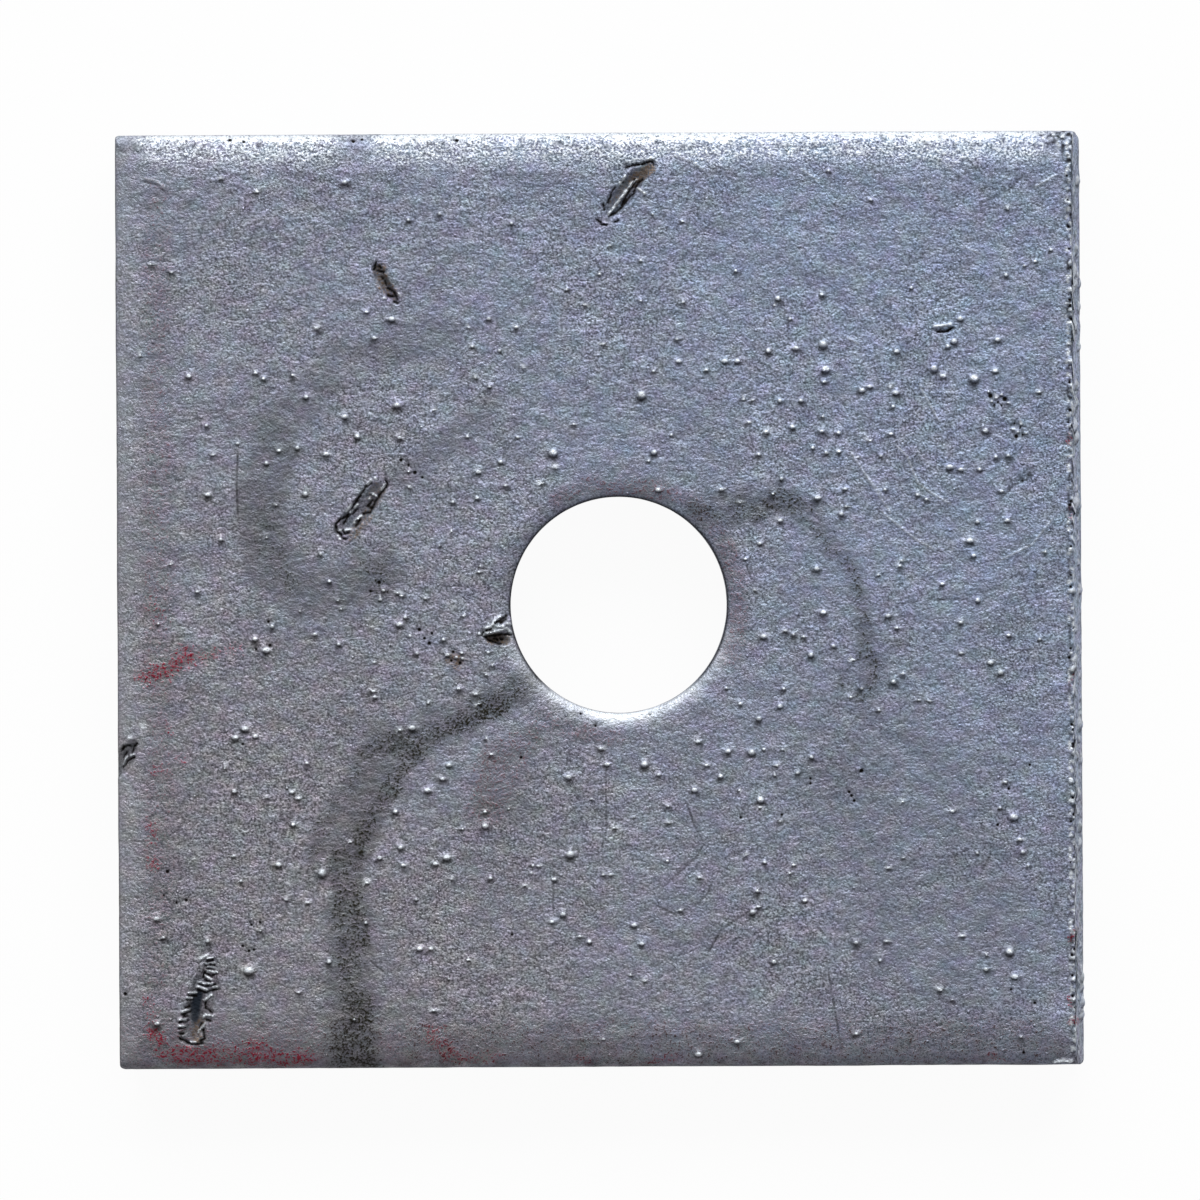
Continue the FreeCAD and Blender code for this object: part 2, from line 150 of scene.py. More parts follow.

# Paths of narrow grooves that the jaws tore in the scars, filled dark with dirt and painted shade.
GROOVES = (
    ((-31.7, -28.8), (-31.2, -28.7)), ((-31.8, -29.1), (-31.1, -29.1)), ((-31.6, -29.4), (-30.9, -29.4)),
    ((-32.0, -30.1), (-31.9, -29.7), (-31.3, -30.0), (-31.0, -29.8)), ((-31.8, -30.3), (-31.5, -30.5)),
    ((-32.4, -30.6), (-31.7, -30.8), (-31.0, -30.7)), ((-32.4, -31.1), (-31.9, -31.3), (-31.3, -31.2)),
    ((-31.2, -31.1), (-30.8, -31.0)), ((-33.1, -31.5), (-32.6, -31.6)), ((-33.3, -31.9), (-32.9, -31.9)),
    ((-33.4, -32.5), (-33.1, -32.4)), ((-33.7, -33.1), (-33.1, -32.8)), ((-33.6, -33.2), (-33.3, -33.2)),
    ((-33.9, -33.7), (-33.3, -33.6)), ((-33.9, -34.2), (-33.5, -34.1)), ((-33.9, -34.6), (-33.6, -34.6)),
    ((-33.9, -35.0), (-33.2, -35.4), (-32.4, -35.5), (-32.1, -35.4)),
    ((-31.8, -32.1), (-31.8, -32.6), (-31.3, -32.9)), ((-32.3, -34.2), (-32.1, -33.8)),
    ((-31.7, -33.5), (-31.4, -33.6)), ((-32.0, -34.3), (-31.9, -35.0), (-32.2, -35.2)),
    ((-18.3, 9.5), (-18.7, 9.2), (-19.1, 8.6), (-19.6, 7.9), (-20.0, 7.3), (-20.4, 6.8),
     (-20.9, 6.5), (-21.2, 6.1), (-21.1, 5.6), (-20.7, 5.3)),
    ((-17.1, 9.6), (-17.0, 9.3), (-17.5, 8.7), (-17.9, 8.1), (-18.2, 7.5), (-18.4, 7.1), (-19.0, 7.0)),
    ((-19.2, 6.5), (-19.6, 6.0)), ((-19.5, 7.4), (-19.8, 7.1), (-20.2, 6.9), (-20.5, 6.2)),
    ((-18.2, 8.1), (-18.6, 7.6), (-18.3, 7.5)), ((-20.6, 5.7), (-20.4, 5.4), (-20.1, 5.5)),
    ((-20.8, 5.1), (-20.4, 5.0)),
    ((2.0, 34.6), (2.6, 34.8), (3.1, 34.9), (3.7, 35.0), (4.2, 35.2), (4.4, 35.1), (4.5, 34.9)),
    ((3.6, 33.7), (3.2, 33.4), (2.8, 32.5), (2.5, 32.3), (2.2, 31.9), (1.9, 31.5), (1.5, 31.1), (0.9, 30.8)),
    ((3.0, 33.7), (2.9, 33.3), (2.4, 32.6), (1.9, 31.7)), ((1.9, 33.6), (2.0, 33.5)),
    ((1.4, 33.1), (1.1, 32.7), (1.0, 32.3), (0.8, 31.9)), ((0.4, 31.7), (0.5, 31.3)),
    ((-0.1, 30.5), (0.2, 30.3)), ((0.3, 30.1), (0.7, 30.1)), ((1.3, 30.3), (1.6, 30.4)),
    ((-17.8, 27.2), (-18.0, 26.6)), ((-17.6, 26.9), (-17.4, 26.7)), ((-17.7, 26.5), (-17.2, 26.4)),
    ((-17.4, 26.0), (-17.3, 25.9)), ((-17.1, 25.7), (-17.0, 25.4)),
    ((-16.9, 25.1), (-16.6, 24.9), (-16.4, 24.8), (-16.1, 24.2)), ((-16.9, 24.5), (-16.4, 24.4)),
    ((-16.4, 24.0), (-16.1, 23.9)), ((-36.7, -10.0), (-37.4, -10.4)),
    ((-37.2, -11.3), (-37.5, -11.5), (-37.7, -12.1)), ((-38.6, -11.9), (-38.3, -11.5), (-37.8, -11.5)),
    ((-38.2, -12.0), (-38.5, -12.4)), ((-37.5, -12.4), (-38.1, -12.7), (-38.6, -13.3)),
    ((-9.1, -2.4), (-8.8, -2.3)), ((-8.4, -1.8), (-8.2, -1.7), (-7.5, -1.2)),
    ((-8.0, -1.8), (-7.6, -1.5)), ((-9.4, -2.6), (-9.1, -3.1), (-8.6, -3.3), (-8.0, -3.5)),
    ((-9.1, -2.8), (-8.5, -2.8), (-8.0, -2.7), (-7.1, -2.7)), ((-8.5, -3.0), (-8.2, -3.2)),
    ((-8.0, -3.0), (-7.8, -3.1)), ((27.2, 21.4), (27.9, 21.4), (28.4, 21.7)),
    ((34.3, 9.85), (34.75, 9.8)), ((33.9, 9.4), (34.2, 9.35)),
)

# Paths of the narrow ridges beside them, which get a painted highlight.
RIDGES = (
    ((-32.2, -28.6), (-31.6, -28.3)), ((-31.6, -28.6), (-31.2, -28.5)), ((-31.8, -29.0), (-31.1, -28.9)),
    ((-31.6, -29.2), (-30.9, -29.4)), ((-31.7, -29.6), (-30.9, -29.7)), ((-31.8, -30.0), (-31.3, -30.3)),
    ((-32.4, -30.5), (-31.8, -30.6), (-31.3, -30.6)), ((-32.5, -30.8), (-31.7, -31.1)),
    ((-31.2, -30.9), (-30.8, -30.9)), ((-33.1, -31.4), (-32.6, -31.3)), ((-33.3, -31.7), (-32.9, -31.8)),
    ((-33.7, -32.9), (-33.2, -32.7)), ((-33.9, -33.5), (-33.4, -33.5)), ((-33.9, -34.0), (-33.5, -34.0)),
    ((-31.9, -31.9), (-31.3, -31.5)), ((-32.4, -34.5), (-31.9, -33.8)),
    ((-32.0, -33.3), (-31.8, -33.1), (-31.2, -33.2)), ((-33.0, -35.3), (-32.6, -35.3)),
    ((-18.6, 9.4), (-18.3, 9.7)), ((-18.0, 9.9), (-17.9, 9.8)), ((-17.2, 9.4), (-17.5, 8.9)),
    ((-18.2, 8.6), (-18.1, 8.6)), ((-17.9, 8.5), (-17.9, 8.4)), ((-18.4, 8.2), (-18.5, 8.2)),
    ((-19.9, 7.7), (-20.3, 7.2)), ((-19.4, 7.8), (-19.6, 7.5)), ((-19.8, 7.3), (-20.0, 7.1)),
    ((-19.5, 6.6), (-19.7, 6.3)), ((-19.1, 6.9), (-19.4, 6.6)), ((-20.9, 5.7), (-20.7, 5.7)),
    ((-20.4, 5.7), (-20.0, 5.8)), ((-21.0, 5.3), (-20.8, 5.0)), ((4.0, 35.3), (4.5, 35.4)),
    ((3.1, 33.7), (2.7, 33.4), (2.3, 32.9), (1.8, 32.2), (1.4, 31.7), (1.0, 31.1), (0.8, 30.9)),
    ((2.2, 34.0), (1.8, 33.4)), ((3.2, 33.0), (3.9, 32.5)), ((-17.2, 24.3), (-17.1, 24.3)),
    ((-16.0, 24.6), (-15.9, 24.5)), ((-36.6, -9.8), (-37.0, -10.0)), ((-37.9, -10.9), (-37.6, -10.9)),
    ((-37.8, -12.3), (-37.5, -12.2)), ((-38.1, -12.4), (-38.5, -13.0)),
    ((-9.3, -2.7), (-8.7, -2.6), (-8.0, -2.4), (-7.5, -2.2), (-7.1, -2.6)),
    ((-9.3, -2.2), (-8.8, -2.1), (-8.4, -1.5), (-8.0, -1.3)), ((-8.2, -2.1), (-7.8, -2.1)),
    ((-7.5, -1.9), (-7.2, -1.9)), ((26.9, 21.8), (27.5, 21.9), (28.3, 22.0)),
    ((36.2, -37.3), (36.8, -37.1), (37.6, -37.2)), ((33.8, 9.6), (34.2, 9.55)),
    ((34.2, 10.05), (34.6, 10.0)),
)

# Paths of dark hairlines in the coat, and of raised lines where the zinc flowed off, which get a painted
# highlight.
HAIRLINES = (
    ((0.4, -13.7), (0.4, -18.4), (0.1, -19.8)),
    ((6.9, -16.4), (7.4, -17.9), (8.2, -19.6), (7.7, -20.6), (5.8, -22.3), (4.8, -23.2)),
    ((8.9, -22.6), (8.5, -23.6), (7.9, -24.2)), ((4.3, -24.5), (5.2, -24.9), (6.0, -25.3)),
    ((12.1, -24.9), (10.9, -25.6), (9.6, -26.5), (8.6, -28.2)), ((-3.8, -21.8), (-3.9, -24.6)),
    ((32.1, 7.9), (33.3, 9.1), (34.1, 9.3)), ((26.4, -0.1), (29.4, -0.1)), ((24.2, -0.4), (25.2, -0.4)),
    ((11.7, 2.9), (12.3, 1.2)), ((30.6, -21.7), (31.2, -20.7)), ((36.6, -23.7), (36.0, -25.7)),
    ((-29.0, 11.8), (-29.1, 9.5), (-29.0, 6.9)), ((18.0, -29.0), (19.2, -36.3)),
    ((-18.4, -29.0), (-17.3, -29.9)), ((-22.3, -31.3), (-21.3, -31.1)), ((26.8, -20.8), (27.8, -20.8)),
    ((-36.3, 33.7), (-35.4, 33.5), (-34.7, 32.9)), ((30.8, 31.7), (32.8, 32.6), (34.0, 33.7)),
)
FLOW_LINES = (
    ((25.8, 16.9), (27.2, 14.3)),
    ((23.9, 12.2), (24.7, 11.4), (25.1, 10.3), (25.6, 9.2), (26.7, 8.4), (28.1, 7.6)),
    ((22.7, 6.9), (23.9, 5.9), (25.4, 4.7), (26.7, 4.0)), ((20.2, 11.7), (21.4, 9.9), (22.9, 8.0)),
    ((29.5, 28.1), (30.5, 27.7)), ((35.2, 33.0), (36.7, 33.9)), ((20.0, 20.9), (20.9, 20.4)),
    ((6.0, 35.8), (7.6, 35.1), (8.6, 34.4)), ((16.3, 34.5), (17.6, 33.6)),
    ((-36.4, 34.0), (-35.4, 33.8), (-34.7, 33.2)), ((21.0, 10.4), (23.4, 6.8)),
    ((32.3, 3.1), (34.7, 4.3), (36.3, 6.3)),
)

# Narrow marks: half widths, and how far they sink into the face or stand out of it, in mm.
GROOVE_HALF_WIDTH = 0.13
GROOVE_DEPTH = 0.16
RIDGE_HALF_WIDTH = 0.11
RIDGE_HEIGHT = 0.14
LINE_HALF_WIDTH = 0.1
HAIRLINE_DEPTH = 0.02
FLOW_LINE_HEIGHT = 0.035

# Least and greatest radius of each sort of pimple in mm. A pimple rises, and a pit sinks, by a share of its
# radius. Lumps of torn metal are scattered below the right arris.
LARGE_RADII = (0.30, 0.42)
PLACED_RADII = (0.15, 0.27)
SCATTERED_RADII = (0.09, 0.17)
ROUND_SHARE = 0.7
TORN_LUMPS = 80

# How the mesh follows the plate: points round the hole, along an edge and along the torn arris; the angle
# past which an edge stays sharp; how sharply the shoulders meet at the corners; how far in the face follows
# the torn cut's lean; and rings of points round the hole's mouth, as distances from its inner edge in mm.
HOLE_STEPS = 190
EDGE_STEPS = 170
ARRIS_STEPS = 480
SHARP_ANGLE = math.radians(60.0)
CORNER_POWER = 6
LEAN_REACH = 2.0
MOUTH_RINGS = (0.07, 0.15, 0.24, 0.34, 0.46, 0.70, 1.0, 1.4, 1.8, 2.3)

# Stretches of the upper edge that stay dull: middle along it and half length.
DULL_TOP = ((-38.0, 1.8), (-19.6, 1.7), (37.4, 1.8))

# Stains and films: for each kind, paths with their half widths, and how strong it is there.
STAINS = {
    "stain": (
        (((-5.5, -6.4, 1.1), (-7.0, -7.3, 1.2), (-9.2, -8.8, 1.1), (-11.3, -9.6, 1.1), (-13.4, -10.6, 1.2),
          (-15.6, -11.2, 1.4), (-17.8, -11.6, 1.2), (-19.2, -12.2, 0.8)), 0.55),
        (((-5.2, -6.2, 1.0), (-7.0, -7.4, 1.1), (-9.0, -8.6, 0.9)), 0.68),
        (((-7.6, -8.4, 0.7), (-9.2, -9.2, 0.7), (-11.3, -9.9, 0.7), (-13.3, -10.9, 0.7)), 0.75),
        (((-14.1, -11.7, 1.2), (-15.8, -13.7, 0.9), (-16.9, -15.3, 1.0), (-18.1, -16.8, 1.0),
          (-19.0, -18.2, 0.9), (-19.3, -19.7, 0.8)), 0.72),
        (((-19.3, -19.7, 0.6), (-19.5, -21.4, 0.6), (-19.6, -23.2, 0.6), (-19.7, -24.7, 0.6),
          (-19.2, -26.0, 0.8), (-19.1, -27.6, 0.8)), 0.8),
        (((-20.8, -20.4, 1.0), (-21.0, -22.0, 1.1), (-20.9, -23.6, 1.1), (-20.6, -25.9, 1.0),
          (-20.5, -27.2, 1.0)), 0.6),
        (((-20.1, -27.6, 1.2), (-20.4, -30.0, 1.2), (-19.9, -31.4, 1.3), (-19.5, -32.9, 1.2),
          (-19.7, -34.5, 1.6)), 0.72),
        (((-20.1, -34.9, 2.2), (-19.9, -37.0, 2.6)), 0.75),
        (((-19.3, -12.5, 0.9), (-20.1, -14.6, 0.8), (-21.1, -15.6, 0.8), (-22.0, -17.6, 0.8),
          (-22.6, -19.6, 0.9), (-23.2, -21.2, 0.8)), 0.45),
        (((7.6, 7.1, 1.0), (9.1, 6.6, 1.1), (9.9, 6.2, 0.9), (11.5, 7.4, 1.1), (12.7, 6.8, 1.0)), 0.55),
        (((13.6, 8.0, 0.9), (15.4, 7.8, 1.2), (17.4, 7.4, 0.9)), 0.6),
        (((16.2, 6.3, 0.4), (18.6, 4.3, 0.4), (19.6, 3.1, 0.5), (20.5, 1.9, 0.6), (20.9, 0.6, 0.7),
          (21.3, -1.0, 0.7), (21.4, -2.5, 0.6), (21.3, -3.5, 0.5)), 0.52),
        (((21.3, -3.5, 0.5), (21.8, -5.0, 0.6), (22.2, -5.6, 0.6), (21.7, -7.1, 0.6),
          (20.6, -8.1, 0.5)), 0.55),
        (((21.1, -3.7, 0.4), (20.4, -5.0, 0.4), (19.6, -5.8, 0.4), (19.1, -7.1, 0.4)), 0.55),
        (((-26.5, 8.2, 1.0), (-26.6, 5.8, 1.2), (-26.1, 3.4, 1.2), (-24.9, 1.4, 1.1)), 0.25),
        (((-19.1, 3.4, 1.0), (-17.6, 1.7, 1.0), (-18.3, 0.8, 0.6)), 0.38),
        (((-14.0, -35.6, 2.4), (12.0, -36.0, 2.2), (37.0, -36.0, 2.6)), 0.17),
    ),
    "smudge": (
        (((-26.0, 13.1, 2.0), (-27.1, 8.2, 2.2), (-26.7, 3.4, 2.3), (-23.7, 0.8, 2.2), (-20.5, 1.0, 2.0),
          (-17.2, 2.1, 1.8)), 0.36),
        (((-25.2, 14.7, 1.8), (-20.8, 19.1, 2.0), (-12.7, 21.4, 2.0)), 0.13),
        (((-16.0, 9.8, 1.2), (-12.0, 13.0, 1.4), (-8.7, 15.8, 1.2)), 0.13),
        (((-5.5, -6.4, 1.5), (-11.3, -9.6, 1.6), (-17.8, -11.8, 2.0), (-18.4, -15.4, 2.0),
          (-20.2, -20.0, 2.0), (-20.2, -24.0, 1.8), (-20.1, -37.0, 2.6)), 0.3),
        (((8.1, 7.4, 1.2), (15.4, 7.6, 1.4), (19.4, 3.6, 0.9), (21.1, -0.1, 1.0), (21.6, -7.3, 0.9)), 0.16),
        (((22.0, -14.0, 8.0), (28.0, -26.0, 9.0)), 0.09),
        (((-5.6, -10.8, 1.2), (-8.1, -13.2, 2.0), (-8.9, -16.0, 1.8), (-6.1, -17.0, 1.4)), 0.12),
        (((-38.0, -35.0, 3.0), (-14.0, -35.1, 3.0)), 0.08),
    ),
    "brown": (
        (((-35.4, 33.2, 1.4), (-35.5, 3.4, 1.5), (-35.5, -23.9, 1.4), (-35.9, -32.0, 1.3)), 0.2),
        (((-5.6, -10.8, 1.2), (-8.1, -13.2, 2.6), (-8.9, -16.0, 2.2)), 0.32),
        (((-5.0, -9.6, 1.0), (-2.8, -10.4, 1.2), (1.2, -11.0, 0.9)), 0.28),
        (((-3.1, 8.1, 0.8), (-0.7, 9.1, 0.9), (3.3, 9.1, 1.0), (7.3, 7.8, 0.9), (9.9, 4.8, 0.9),
          (11.0, 1.6, 1.1), (11.2, -1.6, 1.1), (10.5, -4.8, 0.8)), 0.4),
        (((-38.0, -35.6, 2.6), (35.3, -36.0, 2.6)), 0.25),
    ),
    "rust": (
        (((3.0, 33.6, 0.6), (4.0, 34.6, 0.6)), 0.8),
        (((1.1, 31.8, 0.6), (2.5, 33.3, 0.7)), 0.3),
        (((-17.6, 26.7, 0.6), (-16.6, 24.7, 0.6)), 0.5),
        (((-32.2, -33.6, 0.6), (-32.5, -34.9, 0.6)), 0.6),
        (((-8.9, -3.0, 0.6), (-7.6, -3.1, 0.5)), 0.8),
        (((-11.9, -4.2, 0.5), (-11.2, -4.7, 0.5)), 0.6),
        (((-17.6, 9.0, 0.5), (-18.6, 7.0, 0.6), (-19.9, 5.4, 0.5)), 0.3),
    ),
    "red": (
        (((-36.7, -6.0, 0.7), (-34.7, -5.3, 0.8), (-33.0, -4.2, 0.7)), 0.65),
        (((-33.0, -4.2, 0.6), (-30.8, -3.9, 0.6), (-28.9, -3.8, 0.5)), 0.35),
        (((-36.2, -0.3, 0.7), (-35.5, -1.0, 0.8)), 0.3),
        (((-36.2, -34.5, 0.7), (-35.9, -34.9, 0.9), (-35.5, -35.4, 0.7)), 0.95),
        (((-35.3, -36.2, 0.9), (-33.5, -36.5, 0.9), (-31.1, -36.4, 1.1), (-28.7, -36.3, 1.2),
          (-26.3, -36.4, 1.0), (-23.5, -36.9, 0.6)), 0.62),
        (((-36.2, -32.0, 0.6), (-35.9, -33.7, 0.7)), 0.35),
        (((-13.5, -34.2, 0.5), (-13.0, -34.0, 0.4)), 0.6),
        (((-13.3, -35.3, 0.8), (-12.4, -36.4, 0.9), (-10.6, -36.8, 0.7), (-8.2, -36.7, 0.6)), 0.5),
        (((-1.9, -36.9, 0.5), (-0.9, -37.1, 0.5)), 0.4),
        (((3.8, -36.9, 0.5), (5.6, -37.1, 0.6)), 0.5),
        (((31.2, -36.9, 0.5), (32.4, -37.0, 0.4)), 0.4),
        (((-35.8, -20.9, 0.5), (-35.5, -21.2, 0.5)), 0.5),
        (((-36.1, -18.0, 0.6), (-36.0, -18.9, 0.6)), 0.3),
        (((-35.0, -9.9, 0.6), (-34.2, -10.6, 0.5)), 0.25),
        (((-33.7, -12.5, 0.5), (-33.6, -13.1, 0.5)), 0.25),
        (((-35.8, -13.5, 0.6), (-35.0, -13.5, 0.6)), 0.3),
        (((37.5, 12.5, 0.35), (37.8, 13.0, 0.35)), 0.65),
        (((37.8, 6.3, 0.3), (37.8, 7.1, 0.3)), 0.6),
        (((37.9, -6.9, 0.3), (37.9, -6.3, 0.3)), 0.6),
        (((37.5, -27.5, 0.3), (37.8, -27.0, 0.3)), 0.65),
        (((37.6, -32.6, 0.3), (37.6, -32.0, 0.3)), 0.6),
        (((37.8, -34.2, 0.4), (38.0, -33.8, 0.35)), 0.7),
    ),
    "pool": (
        (((-32.4, -31.6, 0.55), (-32.6, -32.6, 0.6), (-32.7, -33.2, 0.4)), 0.9),
    ),
}


def linear(code):
    """Turns an sRGB hex colour into the linear one that Blender's sockets take."""
    parts = [int(code[start:start + 2], 16) / 255.0 for start in (1, 3, 5)]
    return tuple(part / 12.92 if part <= 0.04045 else ((part + 0.055) / 1.055) ** 2.4 for part in parts)


def length_setting(name, description, default):
    """A length that a user may change, with its default in metres."""
    return FloatProperty(name=name, description=description, default=default, precision=5, unit="LENGTH")


def share_setting(name, description, default, low=0.0, high=1.0):
    """A share of a whole that a user may change."""
    return FloatProperty(name=name, description=description, default=default, min=low, max=high,
                         subtype="FACTOR")


def colour_setting(name, description, code):
    """A colour that a user may change, with its default as an sRGB hex value."""
    return FloatVectorProperty(name=name, description=description, default=linear(code), min=0.0, max=1.0,
                               size=3, subtype="COLOR")


class PlateSizes(bpy.types.PropertyGroup):
    """Sizes of the sheared and punched plate."""

    length: length_setting("Length", "From cut to cut along the bar", PLATE_HIGH.x - PLATE_LOW.x)
    width: length_setting("Width", "Across the bar, over its rolled edges", PLATE_HIGH.y - PLATE_LOW.y)
    thickness: length_setting("Thickness", "Of the bar", PLATE_HIGH.z - PLATE_LOW.z)
    hole_radius: length_setting("Hole radius", "Of the punched hole's straight wall", HOLE_RADIUS)
    hole_along: length_setting("Hole along", "Hole's axis from the plate's middle, along X", HOLE_ALONG)
    hole_across: length_setting("Hole across", "Hole's axis from the plate's middle, along Y", HOLE_ACROSS)
    rolled_width: length_setting("Rolled shoulder width", "Of the bar's rounded edges", 3.2 * MM)
    rolled_radius: length_setting("Rolled shoulder radius", "Of the slow arc next to the face", 9.0 * MM)
    rolled_nose: length_setting("Rolled nose radius", "Of the quick arc next to the wall", 1.2 * MM)
    shear_width: length_setting("Shear droop width", "Of the rounded lip where the blade went in", 2.4 * MM)
    shear_radius: length_setting("Shear droop radius", "Of the slow arc next to the face", 6.0 * MM)
    shear_nose: length_setting("Shear nose radius", "Of the quick arc next to the wall", 0.4 * MM)
    punch_width: length_setting("Punch droop width", "Of the rounded lip at the hole's mouth", 1.6 * MM)
    punch_radius: length_setting("Punch droop radius", "Of the slow arc next to the face", 4.0 * MM)
    punch_nose: length_setting("Punch nose radius", "Of the quick arc next to the hole's wall", 0.4 * MM)
    shear_break: share_setting("Shear break", "Share of the thickness that tore in the cut", 0.5, 0.1, 0.7)
    shear_setback: length_setting("Shear setback", "How far the torn face leans back", 0.8 * MM)
    punch_break: share_setting("Punch break", "Share of the thickness that tore in the hole", 0.35, 0.1, 0.6)
    punch_growth: length_setting("Punch growth", "How much the torn part widens the hole's radius", 0.3 * MM)


class ZincLook(bpy.types.PropertyGroup):
    """Relief and colours of the zinc coat."""

    pimples: IntProperty(name="Scattered pimples", description="Small zinc pimples beside the listed ones",
                         default=200, min=0, max=600)
    seed: IntProperty(name="Seed", description="Chooses where scattered relief falls", default=7, min=0)
    grain: length_setting("Grain", "Width of the coat's fine grain", 0.18 * MM)
    blue_zinc: colour_setting("Blue zinc", "Cool parts of the coat", "#97A1B7")
    grey_zinc: colour_setting("Grey zinc", "Neutral parts of the coat", "#97969F")
    # Colour of the painted highlights: on the edges, the hole's rim, pimples, ridges, flow lines and lumps.
    painted_highlight_zinc: colour_setting("Bright zinc", "Where the coat is rubbed bright", "#E6ECF2")
    dark_stain: colour_setting("Dark stain", "Olive-grey streaks of handling dirt", "#302F27")
    smudge: colour_setting("Smudge", "Faint grey film of handling dirt", "#5A5D60")
    brown_tint: colour_setting("Brown tint", "Thin purple-brown film", "#7A6068")
    rust_tint: colour_setting("Rust tint", "Tan rust on bared steel", "#7E6E62")
    red_mark: colour_setting("Red mark", "Rubbed red marking paint", "#8E2B3C")
    pool: colour_setting("Bare steel", "Smooth blue-grey steel in a scar", "#2E3845")
    # Colour of the dirt, and of the painted shade on the lower edge, round the hole, under pimples and lumps
    # and in grooves.
    dirt_and_shade_colour: colour_setting("Scar dirt", "Black-brown dirt in pits and scars", "#14110F")


class StageLook(bpy.types.PropertyGroup):
    """Light, floor and camera."""

    floor: colour_setting("Floor", "Pale floor", "#F4F4F4")
    floor_white: share_setting("Floor white", "Share of plain white in the floor where it is seen", 0.95)
    floor_reach: length_setting("Floor reach", "From the plate's middle to the floor's sides", 3.0)
    floor_gap: length_setting("Floor gap", "Between the plate's underside and the floor", 0.05 * MM)
    lamp_length: length_setting("Lamp length", "Of the large soft lamp, along the plate", 2.4)
    lamp_width: length_setting("Lamp width", "Of the large soft lamp, the other way", 0.9)
    lamp_back: length_setting("Lamp back", "From the plate's middle back to the lamp's", 1.57)
    lamp_height: length_setting("Lamp height", "From the floor up to the lamp's middle", 0.98)
    lamp_power: FloatProperty(name="Lamp power", description="Of the large soft lamp", default=44.0, min=0.0,
                              unit="POWER")
    sky: FloatProperty(name="Sky", description="Strength of the even light all round", default=0.35, min=0.0)
    view_width: length_setting("View width", "Width of what the camera frames at the plate", 96.6 * MM)
    view_distance: length_setting("View distance", "From the camera to the plate's middle", 0.85)
    view_roll: FloatProperty(name="View roll", description="Turn of the camera about its line of sight",
                             default=math.radians(-0.3), unit="ROTATION", subtype="ANGLE")


class Shoulder:
    """A rounded shoulder from a flat face to an upright wall: a slow arc, then a quick one tangent to it."""

    def __init__(self, width, slow, quick):
        self.width = width / MM
        self.slow = slow / MM
        self.quick = quick / MM
        self.apart = self.slow - self.quick
        self.turn = math.asin((self.width - self.quick) / self.apart)
        self.slow_length = self.slow * self.turn
        self.length = self.slow_length + self.quick * (math.pi / 2 - self.turn)
        self.drop = self.slow - self.apart * math.cos(self.turn)

    def follow(self, along):
        """Reach over the face and drop below it, at each distance along the curve."""
        along = np.clip(along, 0.0, self.length)
        on_slow = along <= self.slow_length
        angle = np.where(on_slow, along / self.slow, self.turn + (along - self.slow_length) / self.quick)
        radius = np.where(on_slow, self.slow, self.quick)
        centre = np.where(on_slow, 0.0, self.apart)
        reach = centre * math.sin(self.turn) + radius * np.sin(angle)
        drop = self.slow - centre * math.cos(self.turn) - radius * np.cos(angle)
        return reach, drop

    def reach_at(self, drop):
        """Reach over the face at each depth below it."""
        drop = np.clip(drop, 0.0, self.drop)
        on_slow = drop <= self.slow * (1.0 - math.cos(self.turn))
        radius = np.where(on_slow, self.slow, self.quick)
        centre = np.where(on_slow, 0.0, self.apart)
        up = self.slow - drop - centre * math.cos(self.turn)
        return centre * math.sin(self.turn) + np.sqrt(np.maximum(radius ** 2 - up ** 2, 0.0))


